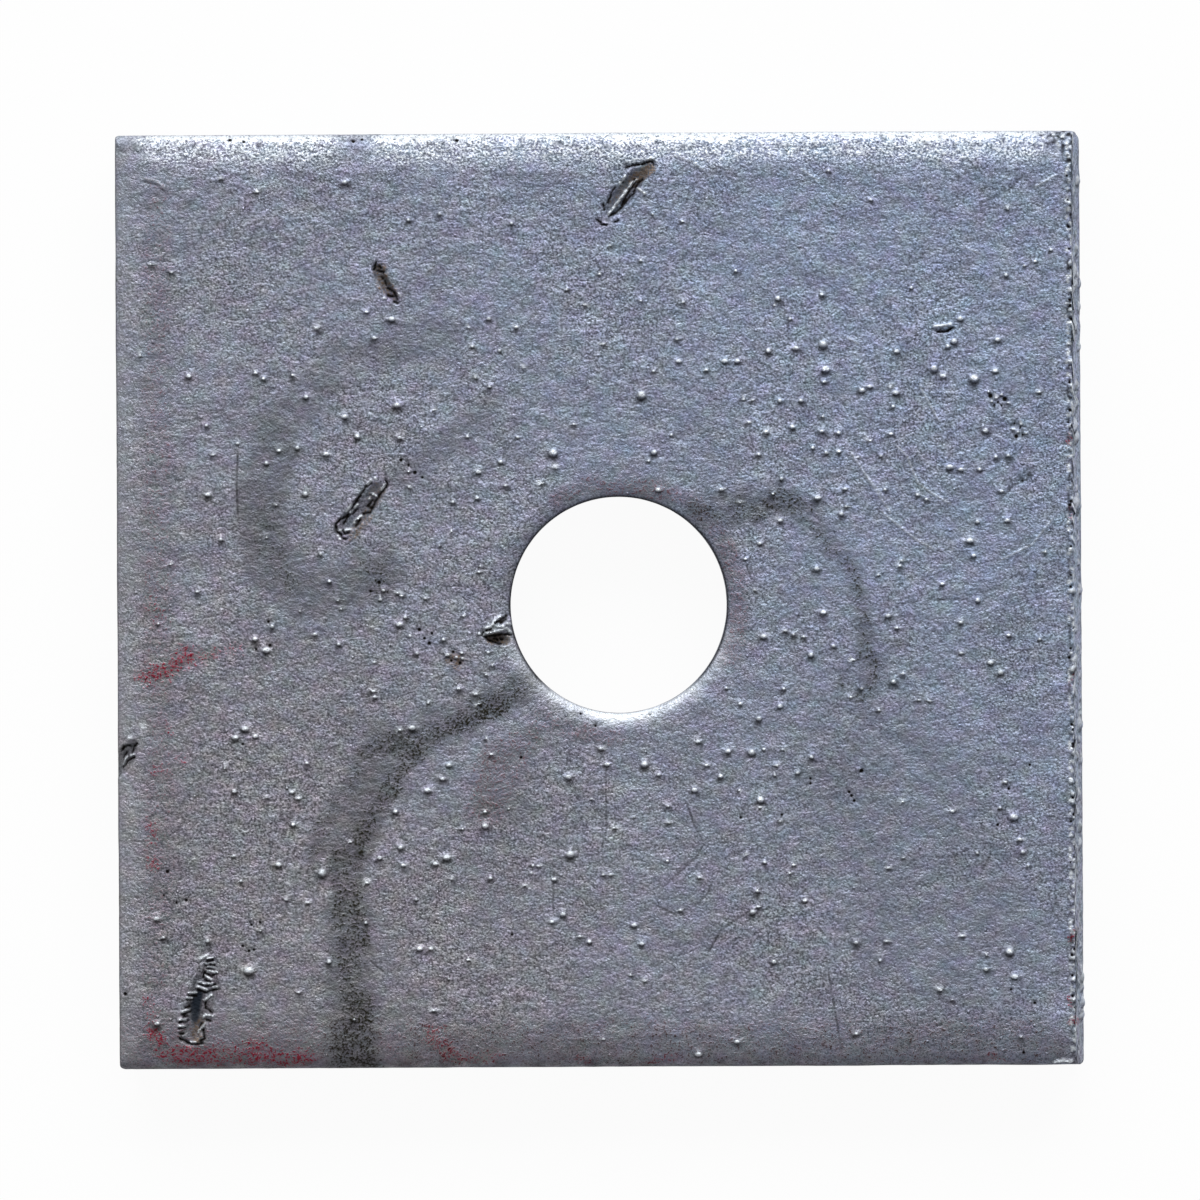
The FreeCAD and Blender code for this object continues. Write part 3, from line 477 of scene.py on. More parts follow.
class PlateForm:
    """The plate's plain shape in millimetres, before the coat's relief.

    A point of the struck face is given by (p, q): x and y on the flat, and lengths along the curve past it.
    """

    def __init__(self, sizes):
        self.half_length = sizes.length / MM / 2
        self.half_width = sizes.width / MM / 2
        self.thickness = sizes.thickness / MM
        self.hole = np.array((sizes.hole_along, sizes.hole_across)) / MM
        self.hole_radius = sizes.hole_radius / MM
        self.rolled = Shoulder(sizes.rolled_width, sizes.rolled_radius, sizes.rolled_nose)
        self.sheared = Shoulder(sizes.shear_width, sizes.shear_radius, sizes.shear_nose)
        self.punched = Shoulder(sizes.punch_width, sizes.punch_radius, sizes.punch_nose)
        self.break_height = self.thickness * sizes.shear_break
        self.setback = sizes.shear_setback / MM
        self.hole_break = self.thickness * sizes.punch_break
        self.hole_growth = sizes.punch_growth / MM
        self.left_flat = self.half_length - self.sheared.width
        self.side_flat = self.half_width - self.rolled.width
        self.low_p = -self.left_flat - self.sheared.length
        self.high_p = self.half_length - self.setback
        self.high_q = self.side_flat + self.rolled.length
        self.mouth = self.hole_radius + self.punched.width
        self.mouth_inner = self.mouth - self.punched.length

    def left(self, height):
        """x of the left cut at each height: droop, upright land, then the torn face that leans back."""
        droop = self.sheared.width - self.sheared.reach_at(self.thickness - height)
        torn = self.setback * np.clip(1.0 - height / self.break_height, 0.0, 1.0)
        return droop + torn - self.half_length

    def right(self, height):
        """x of the right cut, which is the left one turned over."""
        return -self.left(self.thickness - height)

    def side(self, height):
        """y of the rolled edges at each height."""
        depth = np.minimum(height, self.thickness - height)
        return self.side_flat + self.rolled.reach_at(depth)

    def lay(self, p, q):
        """Points of the struck face."""
        reach, left_drop = self.sheared.follow(-self.left_flat - p)
        x = np.where(p < -self.left_flat, -self.left_flat - reach, p)
        reach, side_drop = self.rolled.follow(np.abs(q) - self.side_flat)
        y = np.where(np.abs(q) > self.side_flat, np.sign(q) * (self.side_flat + reach), q)
        away = np.hypot(p - self.hole[0], q - self.hole[1])
        reach, mouth_drop = self.punched.follow(self.mouth - away)
        pull = np.where(away < self.mouth, (self.mouth - reach) / np.maximum(away, 1e-6), 1.0)
        x = np.where(away < self.mouth, self.hole[0] + (p - self.hole[0]) * pull, x)
        y = np.where(away < self.mouth, self.hole[1] + (q - self.hole[1]) * pull, y)
        # Where two shoulders meet, the deeper one counts. The face's end follows the lean of the torn cut.
        drop = (left_drop ** CORNER_POWER + side_drop ** CORNER_POWER) ** (1 / CORNER_POWER) + mouth_drop
        height = self.thickness - drop
        lean = self.right(height) - self.high_p
        x = x + lean * np.clip((p - self.high_p + LEAN_REACH) / LEAN_REACH, 0.0, 1.0)
        return np.stack((x, y, height), axis=1)


def ramp(value, low, high):
    """0 below low, 1 above high and smooth between; high may be under low."""
    share = np.clip((value - low) / (high - low), 0.0, 1.0)
    return share * share * (3.0 - 2.0 * share)


def rough(points, size, layer=0.0):
    """Smooth noise between about -1 and 1, with features of a size in mm; each layer is another pattern."""
    return np.array([noise.noise(Vector((p / size, q / size, layer))) for p, q in points])


def near_path(points, path):
    """1 on a path of (p, q, half width), falling softly to 0 beyond it."""
    path = np.array(path)
    mask = np.zeros(len(points))
    reach = 1.3 * path[:, 2].max()
    close = np.all((points > path[:, :2].min(0) - reach) & (points < path[:, :2].max(0) + reach), axis=1)
    spots = points[close]
    found = np.zeros(len(spots))
    for start, end in zip(path, path[1:]):
        run = end[:2] - start[:2]
        share = np.clip((spots - start[:2]) @ run / (run @ run), 0.0, 1.0)
        away = np.linalg.norm(spots - start[:2] - share[:, None] * run, axis=1)
        half_width = start[2] + share * (end[2] - start[2])
        found = np.maximum(found, ramp(away / half_width, 1.2, 0.45))
    mask[close] = found
    return mask


def ragged(points):
    """The points moved about by some tenths of a mm, so that what is laid over them gets ragged edges."""
    shift = np.stack((rough(points, 2.2, 11.0), rough(points, 2.2, 12.0)), axis=1)
    return points + 0.6 * shift


def path_masks(points, paths, half_width):
    """For each of some narrow paths, 1 on it and falling softly to 0 beside it."""
    for path in paths:
        yield near_path(points, [(*point, half_width) for point in path])


def turned(points, angle):
    """Points turned about the origin by an angle in degrees."""
    angle = math.radians(angle)
    return points @ np.array(((math.cos(angle), math.sin(angle)), (-math.sin(angle), math.cos(angle))))


def scar_axes(points, scar):
    """Place along and across a scar, each as a share of its half size."""
    local = turned(points - (scar.along, scar.across), -scar.angle)
    return (local / (scar.length / 2, scar.width / 2)).T


def scatter_pimples(form, look, chance):
    """Every zinc pimple on the face as (p, q, radius)."""
    made = list(LUMPS)
    made += [(p, q, chance.uniform(*LARGE_RADII)) for p, q in LARGE_PIMPLES]
    made += [(p, q, chance.uniform(*PLACED_RADII)) for p, q in PIMPLES]
    wanted = len(made) + look.pimples
    while len(made) < wanted:
        p = chance.uniform(form.low_p + 2.0, form.high_p - 1.5)
        q = chance.uniform(-form.side_flat - 1.5, form.side_flat + 0.5)
        radius = chance.uniform(*SCATTERED_RADII)
        # They crowd round the plate's middle.
        crowd = math.exp(-((p - 2.0) ** 2 + (q + 2.0) ** 2) / 420.0)
        if chance.random() > 0.2 + 0.8 * crowd:
            continue
        if math.hypot(p - form.hole[0], q - form.hole[1]) < form.mouth + 0.5:
            continue
        if all(math.hypot(p - a, q - b) > radius + c + 0.1 for a, b, c in made):
            made.append((p, q, radius))
    return np.array(made)


def scatter_beads(form, chance):
    """Zinc beads at the right arris and the pits between them, as (p, q, radius)."""
    beads = []
    pits = []
    q = -form.side_flat - 1.0
    while q < form.side_flat + 1.0:
        q += 0.22 + chance.exponential(0.75)
        radius = 0.12 + 0.2 * chance.random() ** 2
        beads.append((form.high_p - chance.uniform(-0.1, 0.25), q, radius))
        if chance.random() < 0.6:
            gap = chance.uniform(0.2, 0.5)
            pits.append((form.high_p - chance.uniform(-0.05, 0.35), q + gap, chance.uniform(0.09, 0.2)))
    return np.array(beads), np.array(pits)


def scatter_tears(form, beads, chance):
    """Lumps of torn and coated metal below the right arris, with its beads, as (q, height, radius)."""
    q = chance.uniform(-form.side_flat, form.side_flat, TORN_LUMPS)
    level = form.thickness - 0.4 - 2.4 * chance.random(TORN_LUMPS)
    radius = 0.3 + 0.6 * chance.random(TORN_LUMPS) ** 2
    bead_level = np.full(len(beads), form.thickness - 0.15)
    at_arris = np.stack((beads[:, 1], bead_level, 1.9 * beads[:, 2]), axis=1)
    return np.concatenate((np.stack((q, level, radius), axis=1), at_arris))


def rings(spots, shares, counts):
    """Points on rings round each spot of (p, q, radius)."""
    made = [spots[:, :2]]
    for turn, (share, count) in enumerate(zip(shares, counts)):
        for step in range(count):
            angle = 2 * math.pi * (step + 0.5 * (turn % 2)) / count
            made.append(spots[:, :2] + spots[:, 2:] * share * np.array((math.cos(angle), math.sin(angle))))
    return np.concatenate(made)


def grid(low_p, high_p, low_q, high_q, step_p, step_q):
    """Staggered rows of points that fill a rectangle."""
    rows = []
    for row, q in enumerate(np.arange(low_q, high_q, step_q)):
        p = np.arange(low_p + step_p * 0.5 * (row % 2), high_p, step_p)
        rows.append(np.stack((p, np.full(len(p), q)), axis=1))
    return np.concatenate(rows)


def beside_paths(paths, step, offsets):
    """Points on and beside paths that are narrower than the plain rows of points."""
    made = []
    for path in paths:
        for start, end in zip(np.array(path), np.array(path[1:])):
            run = end - start
            length = math.hypot(*run)
            side = np.array((-run[1], run[0])) / length
            middle = start + np.arange(0.0, 1.0, step / length)[:, None] * run
            made += [middle + offset * side for offset in offsets]
    return np.concatenate(made)


def face_outline(form):
    """The struck face's outline in (p, q), anticlockwise from its lower left corner, with no point twice."""
    across = np.linspace(-form.high_q, form.high_q, EDGE_STEPS)
    arris = np.linspace(-form.high_q, form.high_q, ARRIS_STEPS)
    along = np.linspace(form.low_p, form.high_p, EDGE_STEPS)
    lower = [(p, -form.high_q) for p in along[:-1]]
    right = [(form.high_p, q) for q in arris[:-1]]
    upper = [(p, form.high_q) for p in along[:0:-1]]
    left = [(form.low_p, q) for q in across[:0:-1]]
    return np.array(lower + right + upper + left)


def face_points(form, spots, small_pits, chance):
    """Points inside the struck face's outline: dense where there is relief, sparse on the plain zinc."""
    parts = []
    for scar in SCARS:
        half_length = 0.5 * scar.length + 0.4
        half_width = 0.5 * scar.width + 0.5
        local = grid(-half_length, half_length, -half_width, half_width, 0.11, 0.1)
        parts.append(turned(local, scar.angle) + (scar.along, scar.across))
    parts.append(rings(spots, (0.45, 0.75, 0.93, 1.08), (6, 8, 10, 12)))
    parts.append(rings(small_pits, (0.6, 1.0), (6, 8)))
    parts.append(beside_paths(HAIRLINES + FLOW_LINES, 0.14, (-0.13, -0.065, 0.0, 0.065, 0.13)))
    middle = np.array([(0.0, 0.0, 1.0)])
    for turn, gap in enumerate(MOUTH_RINGS):
        lap = rings(middle, (form.mouth_inner + gap,), (HOLE_STEPS,))[1:]
        parts.append(turned(lap, 180.0 / HOLE_STEPS * (turn % 2)) + form.hole)
    nose_start = form.side_flat + form.rolled.slow_length - 0.3
    for low_q, high_q in ((-form.high_q + 0.1, -nose_start), (nose_start, form.high_q - 0.1)):
        parts.append(grid(form.low_p + 0.1, form.high_p - 0.1, low_q, high_q, 0.30, 0.17))
    left_nose = -form.left_flat - form.sheared.slow_length + 0.2
    for low_p, high_p, step_p, step_q in ((form.low_p + 0.08, left_nose, 0.12, 0.4),
                                          (form.high_p - 1.0, form.high_p - 0.05, 0.16, 0.17)):
        parts.append(grid(low_p, high_p, -form.high_q + 0.1, form.high_q - 0.1, step_p, step_q))
    dense = np.concatenate(parts)

    plain = grid(left_nose, form.high_p - 1.1, -nose_start, nose_start, 0.47, 0.42)
    plain = plain + chance.uniform(-0.1, 0.1, plain.shape)
    keep = np.hypot(*(plain - form.hole).T) > form.mouth_inner + 2.5
    for p, q, radius in spots:
        keep &= np.hypot(plain[:, 0] - p, plain[:, 1] - q) > radius * 1.3 + 0.08
    for scar in SCARS:
        along, across = scar_axes(plain, scar)
        past_end = np.abs(along) * scar.length > scar.length + 1.0
        keep &= past_end | (np.abs(across) * scar.width > scar.width + 1.2)
    points = np.concatenate((dense, plain[keep]))
    inside = (points[:, 0] > form.low_p + 0.04) & (points[:, 0] < form.high_p - 0.04)
    inside &= np.abs(points[:, 1]) < form.high_q - 0.04
    inside &= np.hypot(*(points - form.hole).T) > form.mouth_inner + 0.04
    points = points[inside]
    first = np.unique(np.round(points / 0.06).astype(int), axis=0, return_index=True)[1]
    return points[np.sort(first)]


def worn_edges(form, points, uneven, frayed):
    """How much dirt and painted shade, painted highlight and painted top-edge highlight the plate's edges
    and the hole's rim get, from 0 to 1.
    """
    p, q = points.T
    nose = form.side_flat + form.rolled.slow_length
    from_hole = points - form.hole
    away = np.hypot(*from_hole.T)
    gap = away - form.mouth_inner
    downhill = -from_hole[:, 1] / np.maximum(away, 1e-6)

    # Painted shade on the lower edge, which turns away from the lamp, and round the hole's mouth except its
    # lower rim, which is lit; the left cut's lip is darker at its very edge.
    dirt = (0.5 + 0.25 * uneven) * ramp(-q + 0.8 * frayed, nose - 0.4, form.high_q + 0.1)
    dirt = np.maximum(dirt, 0.9 * ramp(gap, 0.42, 0.2) * ramp(downhill, 0.85, 0.6))
    dirt = np.maximum(dirt, 0.5 * ramp(p, form.low_p + 0.4, form.low_p + 0.2))

    # The upper edge, which faces the lamp, gets a grainy painted highlight and dark specks, apart from its
    # dull stretches.
    on_top_nose = ramp(q, nose - 0.9, nose - 0.2)
    top_specks = ramp(rough(points, 0.42, 14.0), 0.15, 0.5) * ramp(q, nose + 1.1, nose + 0.5)
    dirt = np.maximum(dirt, 0.4 * on_top_nose * top_specks)
    wander = q + frayed + 0.6 * rough(points, 6.0, 15.0)
    frost = np.maximum(0.85 * ramp(wander, nose, nose + 0.8), 0.25 * ramp(wander, nose - 2.6, nose))
    frost *= ramp(q, form.high_q + 0.05, nose + 0.9)
    for middle, half_length in DULL_TOP:
        dull = ramp(np.abs(p - middle) + 2.0 * frayed, 1.5 * half_length, 0.3 * half_length)
        frost *= 1.0 - 0.85 * dull
        dirt = np.maximum(dirt, dull * on_top_nose * (0.15 + 0.3 * uneven))

    # Painted highlight on the hole's lower rim, which slopes towards the lamp, and a painted sheen round its
    # lower half; a painted sheen on the left lip. The arris and the upper right corner are chipped: dark
    # chips with painted glints between them.
    rim_highlight = 0.65 * ramp(downhill, 0.5, 0.85) + 0.35 * ramp(downhill, 0.92, 0.99)
    rim_highlight *= ramp(gap + 0.4 * frayed, 1.3, 0.4)
    sheen = 0.32 * ramp(gap + 0.4 * frayed, 1.8, 0.4) * ramp(downhill, 0.0, 0.5)
    left_lip_highlight = 0.14 * ramp(p, form.low_p + 3.0, form.low_p + 0.6)
    corner = np.hypot(p - form.high_p, q - nose - 0.6)
    at_arris = ramp(p + 0.2 * frayed, form.high_p - 0.6, form.high_p - 0.3)
    chipped = np.maximum(at_arris, ramp(corner + uneven, 2.6, 1.2))
    chips = rough(points, 0.36, 22.0)
    dirt = np.maximum(dirt, (0.7 + 0.25 * ramp(q, 0.0, 25.0)) * chipped * ramp(chips, 0.05, 0.3))
    glints = 0.9 * chipped * ramp(chips, -0.1, -0.35)
    return dirt, np.maximum.reduce((rim_highlight, sheen, left_lip_highlight, glints)), frost


def coat_relief(form, points, spots, pits):
    """Height of the zinc over the plain shape in mm, and its dirt and painted shade, painted highlight and
    painted top-edge highlight from 0 to 1.
    """
    p, q = points.T
    height = 0.045 * rough(points, 7.0) + 0.02 * rough(points, 2.4, 5.0)
    uneven = rough(points, 1.5, 9.0)
    frayed = 0.45 * uneven + 0.35 * rough(points, 0.5, 10.0)
    dirt, bright, frost = worn_edges(form, points, uneven, frayed)

    for scar in SCARS:
        along, across = scar_axes(points, scar)
        reach = np.hypot(along, across) + 0.12 * rough(points, 0.6, 3.0)
        inside = np.clip(1.0 - reach ** 2, 0.0, 1.0)
        height += scar.height * inside ** 0.7 + 0.05 * rough(points, 0.3, 6.0) * ramp(inside, 0.0, 0.3)
        if scar.height < 0.0:
            dirt = np.maximum(dirt, 0.45 * ramp(inside, 0.0, 0.5))
    for mask in path_masks(points, HAIRLINES, LINE_HALF_WIDTH):
        height -= HAIRLINE_DEPTH * mask
        dirt = np.maximum(dirt, mask * np.clip(0.48 + 0.9 * frayed, 0.0, 0.8))
    # The flow lines get a painted highlight.
    for mask in path_masks(points, FLOW_LINES, LINE_HALF_WIDTH):
        height += FLOW_LINE_HEIGHT * mask
        bright = np.maximum(bright, 0.25 * mask)
    # The grooves are filled dark, as dirt and painted shade; the ridges get a painted highlight.
    torn = points + 0.07 * np.stack((rough(points, 0.3, 16.0), rough(points, 0.3, 17.0)), axis=1)
    for mask in path_masks(torn, GROOVES, GROOVE_HALF_WIDTH):
        height -= GROOVE_DEPTH * mask
        dirt = np.maximum(dirt, mask)
    for mask in path_masks(torn, RIDGES, RIDGE_HALF_WIDTH):
        height += RIDGE_HEIGHT * mask
        dirt *= 1.0 - mask
        bright = np.maximum(bright, 0.9 * mask)

    # Each pimple and bead gets a painted highlight on its cap, away from its lower side, and a faint ring of
    # dirt round its foot that turns into painted shade on its lower side, away from the lamp.
    for spot_p, spot_q, radius in spots:
        stretch = 1.1 + 0.2 * math.sin(7.0 * spot_p + 3.0 * spot_q)
        away = np.hypot((p - spot_p) / stretch, q - spot_q) / radius
        height += ROUND_SHARE * radius * np.clip(1.0 - away ** 2, 0.0, 1.0) ** 0.6
        below = ramp((q - spot_q) / radius, 0.0, -0.5)
        lit_cap = ramp(away, 1.0, 0.6) * (1.0 - below)
        foot_dirt_and_shade = ramp(np.abs(away - 0.95), 0.38, 0.12) * (0.05 + 0.75 * below)
        dirt = np.maximum(dirt * (1.0 - 0.8 * lit_cap), foot_dirt_and_shade)
        bright = np.maximum(bright, 0.95 * lit_cap)
    for pit_p, pit_q, radius in pits:
        away = np.hypot(p - pit_p, q - pit_q) / radius
        height -= ROUND_SHARE * radius * np.clip(1.0 - away ** 2, 0.0, 1.0)
        dirt = np.maximum(dirt, ramp(away, 1.1, 0.6))
    return height, dirt, bright * (1.0 - dirt), frost * (1.0 - dirt)


def corner_normals(vertices, faces):
    """Unit normals at the vertices of a triangle mesh."""
    a, b, c = (vertices[faces[:, corner]] for corner in range(3))
    slopes = np.cross(b - a, c - a)
    normals = np.zeros_like(vertices)
    for corner in range(3):
        np.add.at(normals, faces[:, corner], slopes)
    return normals / np.maximum(np.linalg.norm(normals, axis=1, keepdims=True), 1e-12)


def triangulate(points, hole_start, hole_count):
    """Triangles over all the points, without those across the hole's loop."""
    made = delaunay_2d_cdt([Vector(point) for point in points], [], [], 0, 1e-7, False)
    if len(made[0]) != len(points):
        raise RuntimeError("the plate's points run into each other")
    faces = np.array(made[2])
    in_hole = (faces >= hole_start) & (faces < hole_start + hole_count)
    return faces[~in_hole.all(axis=1)]


def round_corners(form, vertices):
    """Rounds the plate's four upright corners in plan. The upper right one is worn the most."""
    x, y, z = vertices.T
    for side_x, side_y, radius in ((1, 1, 0.8), (-1, 1, 0.25), (-1, -1, 0.4), (1, -1, 0.3)):
        along = np.maximum(side_x * x - form.half_length + radius, 0.0)
        across = np.maximum(side_y * y - form.half_width + radius, 0.0)
        reach = np.hypot(along, across)
        pull = np.maximum(along, across) / np.maximum(reach, 1e-9) - 1.0
        inside = (along > 0.0) & (across > 0.0)
        x = x + np.where(inside, side_x * along * pull, 0.0)
        y = y + np.where(inside, side_y * across * pull, 0.0)
    return np.stack((x, y, z), axis=1)


class Skin:
    """The plate's skin while it is put together: points, polygons, and each point's marks from 0 to 1."""

    def __init__(self):
        self.points = []
        self.polygons = []
        self.marks = {"dirt": [], "bright": [], "frost": []}
        self.total = 0

    def add(self, points, **marks):
        """Adds points with their marks, where they have some, and gives the points' numbers."""
        self.points.append(points)
        for kind, values in self.marks.items():
            values.append(np.broadcast_to(marks.get(kind, 0.0), len(points)))
        self.total += len(points)
        return np.arange(self.total - len(points), self.total)

    def hang(self, loop, wall):
        """Hangs a wall, ring by ring, from a closed loop of point numbers, and gives its foot's numbers."""
        for points, marks in wall:
            lower = self.add(points, **marks)
            self.polygons += np.stack((np.roll(loop, 1), np.roll(lower, 1), lower, loop), axis=1).tolist()
            loop = lower
        return loop


def wall_levels(form, edge):
    """Heights of the rings down the outer wall, one for each point, from its upper edge to the underside."""
    lip = form.thickness - form.rolled.drop - 0.3
    plain = (np.linspace(lip, form.break_height, 6)[1:],
             np.linspace(form.break_height, form.rolled.drop, 4)[1:],
             form.rolled.follow(np.linspace(form.rolled.length, 0.0, 10))[1][1:])
    hanging = [edge + (lip - edge) * share for share in np.linspace(0.0, 1.0, 9)[1:]]
    return hanging + [np.full(len(edge), level) for level in np.concatenate(plain)]


def lump_bulge(lumps, q, level):
    """How far the lumps stand out of the torn face, and the place along and up each of them from -1 to 1."""
    middle, centre, radius = lumps.T
    around = (q[:, None] - middle) / radius
    up = (level[:, None] - centre) / radius
    bulge = radius * np.clip(1.0 - around ** 2 - up ** 2, 0.0, 1.0) ** 1.5
    rows = np.arange(len(q))
    largest = bulge.argmax(axis=1)
    return bulge[rows, largest], around[rows, largest], up[rows, largest]


def outer_wall(form, outline, edge, dirt, bright, tears):
    """Rings of points and marks down the plate's edges; each cut is torn on one side of its break line."""
    p, q = outline.T
    at_left = p == form.low_p
    at_right = p == form.high_p
    on_end = at_left | at_right
    at_front = q == -form.high_q
    edge_mark_reach = np.where(at_front, 2.6, 0.8)
    inward = np.where(on_end, np.abs(q) / form.high_q, 1.0)
    span = (p - form.low_p) / (form.high_p - form.low_p)
    break_line = form.break_height + 0.4 * rough(outline, 4.0, 18.0)
    for level in wall_levels(form, edge):
        place = np.stack((p + q, level), axis=1)
        torn = ramp(np.where(at_left, break_line - level, level - break_line), -0.1, 0.4) * on_end
        bulge, around, up = lump_bulge(tears, q, level)
        bulge = bulge * at_right * ramp(level, break_line + 0.1, break_line + 0.9)
        ripped = 0.08 * rough(place, 1.4, 19.0) + 0.06 * rough(place, 0.7, 20.0)
        out = (0.02 * rough(place, 0.9, 2.0) + torn * ripped + 0.4 * bulge) * ramp(level, 0.0, 0.4)
        left, right = form.left(level), form.right(level)
        x = left + span * (right - left) + np.where(on_end, np.sign(p) * out, 0.0)
        y = np.sign(q) * (inward * form.side(level) + np.where(on_end, 0.0, out))
        specks = torn * (0.05 + 0.5 * ramp(rough(place, 0.45, 13.0), 0.1, 0.5))
        # Painted glints on the torn right face near its top.
        glints = 0.5 * torn * at_right * ramp(rough(place, 0.4, 21.0), 0.2, 0.5)
        glints = glints * ramp(form.thickness - level, 1.95, 0.75)
        brink = 0.35 * ramp(np.abs(level - break_line), 0.45, 0.1) * at_right
        # Lumps get painted shade on their lower side and on the side away from the lamp, and a painted
        # highlight on their upper side towards it.
        on_lump = ramp(bulge, 0.02, 0.1)
        shaded = on_lump * np.maximum(0.35 * ramp(up, 0.0, -0.6), 0.6 * ramp(around, -0.1, -0.6))
        lit = np.maximum(glints * (1.0 - specks), 0.6 * on_lump * ramp(up + around, -0.1, 0.6))
        # The edge's marks run down the wall: the front edge's painted shade for about 2.6 mm, the others'
        # for 0.8 mm.
        near_top = ramp(edge - level + 0.6 * rough(place, 0.9, 23.0) * at_front, edge_mark_reach, 0.0)
        marks = {"dirt": np.maximum.reduce((specks, brink, shaded, dirt * near_top)),
                 "bright": np.maximum(lit, bright * near_top)}
        yield np.stack((x, y, level), axis=1), marks


def hole_wall(form, loop):
    """Rings of points and marks down the punched hole: the straight wall, then the wider torn part."""
    direction = (loop - form.hole) / form.mouth_inner
    top = form.thickness - form.punched.drop
    straight = np.linspace(top, form.hole_break, 7)[1:]
    torn = np.linspace(form.hole_break, 0.0, 5)[1:]
    for level in np.concatenate((straight, torn)):
        growth = form.hole_growth * np.clip(1.0 - level / form.hole_break, 0.0, 1.0)
        coat = 0.05 if 0.0 < level < form.hole_break else 0.008
        radius = form.hole_radius + growth + coat * rough(direction * 9.0 + level, 0.8, 4.0)
        flat = form.hole + direction * radius[:, None]
        yield np.concatenate((flat, np.full((len(flat), 1), level)), axis=1), {"dirt": 0.45}


def plate_mesh(form, look):
    """Vertices in mm, faces, and the surface marks of the whole plate."""
    chance = np.random.default_rng(look.seed)
    pimples = scatter_pimples(form, look, chance)
    beads, bead_pits = scatter_beads(form, chance)
    tears = scatter_tears(form, beads, chance)
    pits = np.concatenate((np.array(PITS), bead_pits))
    outline = face_outline(form)
    hole_loop = rings(np.array([(*form.hole, form.mouth_inner)]), (1.0,), (HOLE_STEPS,))[1:]
    points = np.concatenate((outline, hole_loop, face_points(form, pimples, pits, chance)))
    faces = triangulate(points, len(outline), len(hole_loop))
    plain = form.lay(*points.T)
    height, dirt, bright, frost = coat_relief(form, points, np.concatenate((pimples, beads)), pits)
    struck = plain + corner_normals(plain, faces) * height[:, None]

    skin = Skin()
    numbers = skin.add(struck, dirt=dirt, bright=bright, frost=frost)
    skin.polygons += faces.tolist()
    edge = numbers[:len(outline)]
    mouth = numbers[len(outline):len(outline) + len(hole_loop)]
    wall = outer_wall(form, outline, struck[edge, 2], dirt[edge], bright[edge], tears)
    outer_foot = skin.hang(edge, wall)
    inner_foot = skin.hang(mouth, hole_wall(form, hole_loop))
    half_along = form.left_flat - 1.0
    half_across = form.side_flat - 1.0
    under = grid(-half_along, half_along, -half_across, half_across, 2.0, 1.7)
    under = under[np.hypot(*(under - form.hole).T) > form.hole_radius + 1.5]
    laid_under = skin.add(np.concatenate((under, np.zeros((len(under), 1))), axis=1))
    numbers = np.concatenate((outer_foot, inner_foot, laid_under))
    every = np.concatenate(skin.points)
    skin.polygons += numbers[triangulate(every[numbers, :2], len(outer_foot), len(inner_foot))].tolist()

    every = round_corners(form, every)
    place = np.concatenate((points, every[len(points):, :2]))
    marks = {kind: np.concatenate(values) for kind, values in skin.marks.items()}
    patchy = np.clip(0.95 + 0.4 * rough(place, 2.6, 8.0), 0.55, 1.15) * ramp(every[:, 2], 0.5, 5.0)
    laid = ragged(place)
    for kind, paths in STAINS.items():
        film = np.max([strength * near_path(laid, path) for path, strength in paths], axis=0)
        marks[kind] = film * patchy
    return every, skin.polygons, marks


# Sockets of the Mix node when it mixes colours, and a plain white.
MIX_SHARE, MIX_FIRST, MIX_SECOND, MIX_RESULT = 0, 6, 7, 2
WHITE = (1.0, 1.0, 1.0, 1.0)


def empty_tree(owner):
    """The node tree of a new material or world, with no node in it."""
    owner.use_nodes = True
    owner.node_tree.nodes.clear()
    return owner.node_tree


def add_node(tree, kind, inputs=None, **settings):
    """Adds a node with its settings and gives its outputs; inputs maps its sockets to values or outputs."""
    node = tree.nodes.new("ShaderNode" + kind)
    for name, value in settings.items():
        setattr(node, name, value)
    for name, value in (inputs or {}).items():
        if isinstance(value, bpy.types.NodeSocket):
            tree.links.new(value, node.inputs[name])
        else:
            node.inputs[name].default_value = value
    return node.outputs


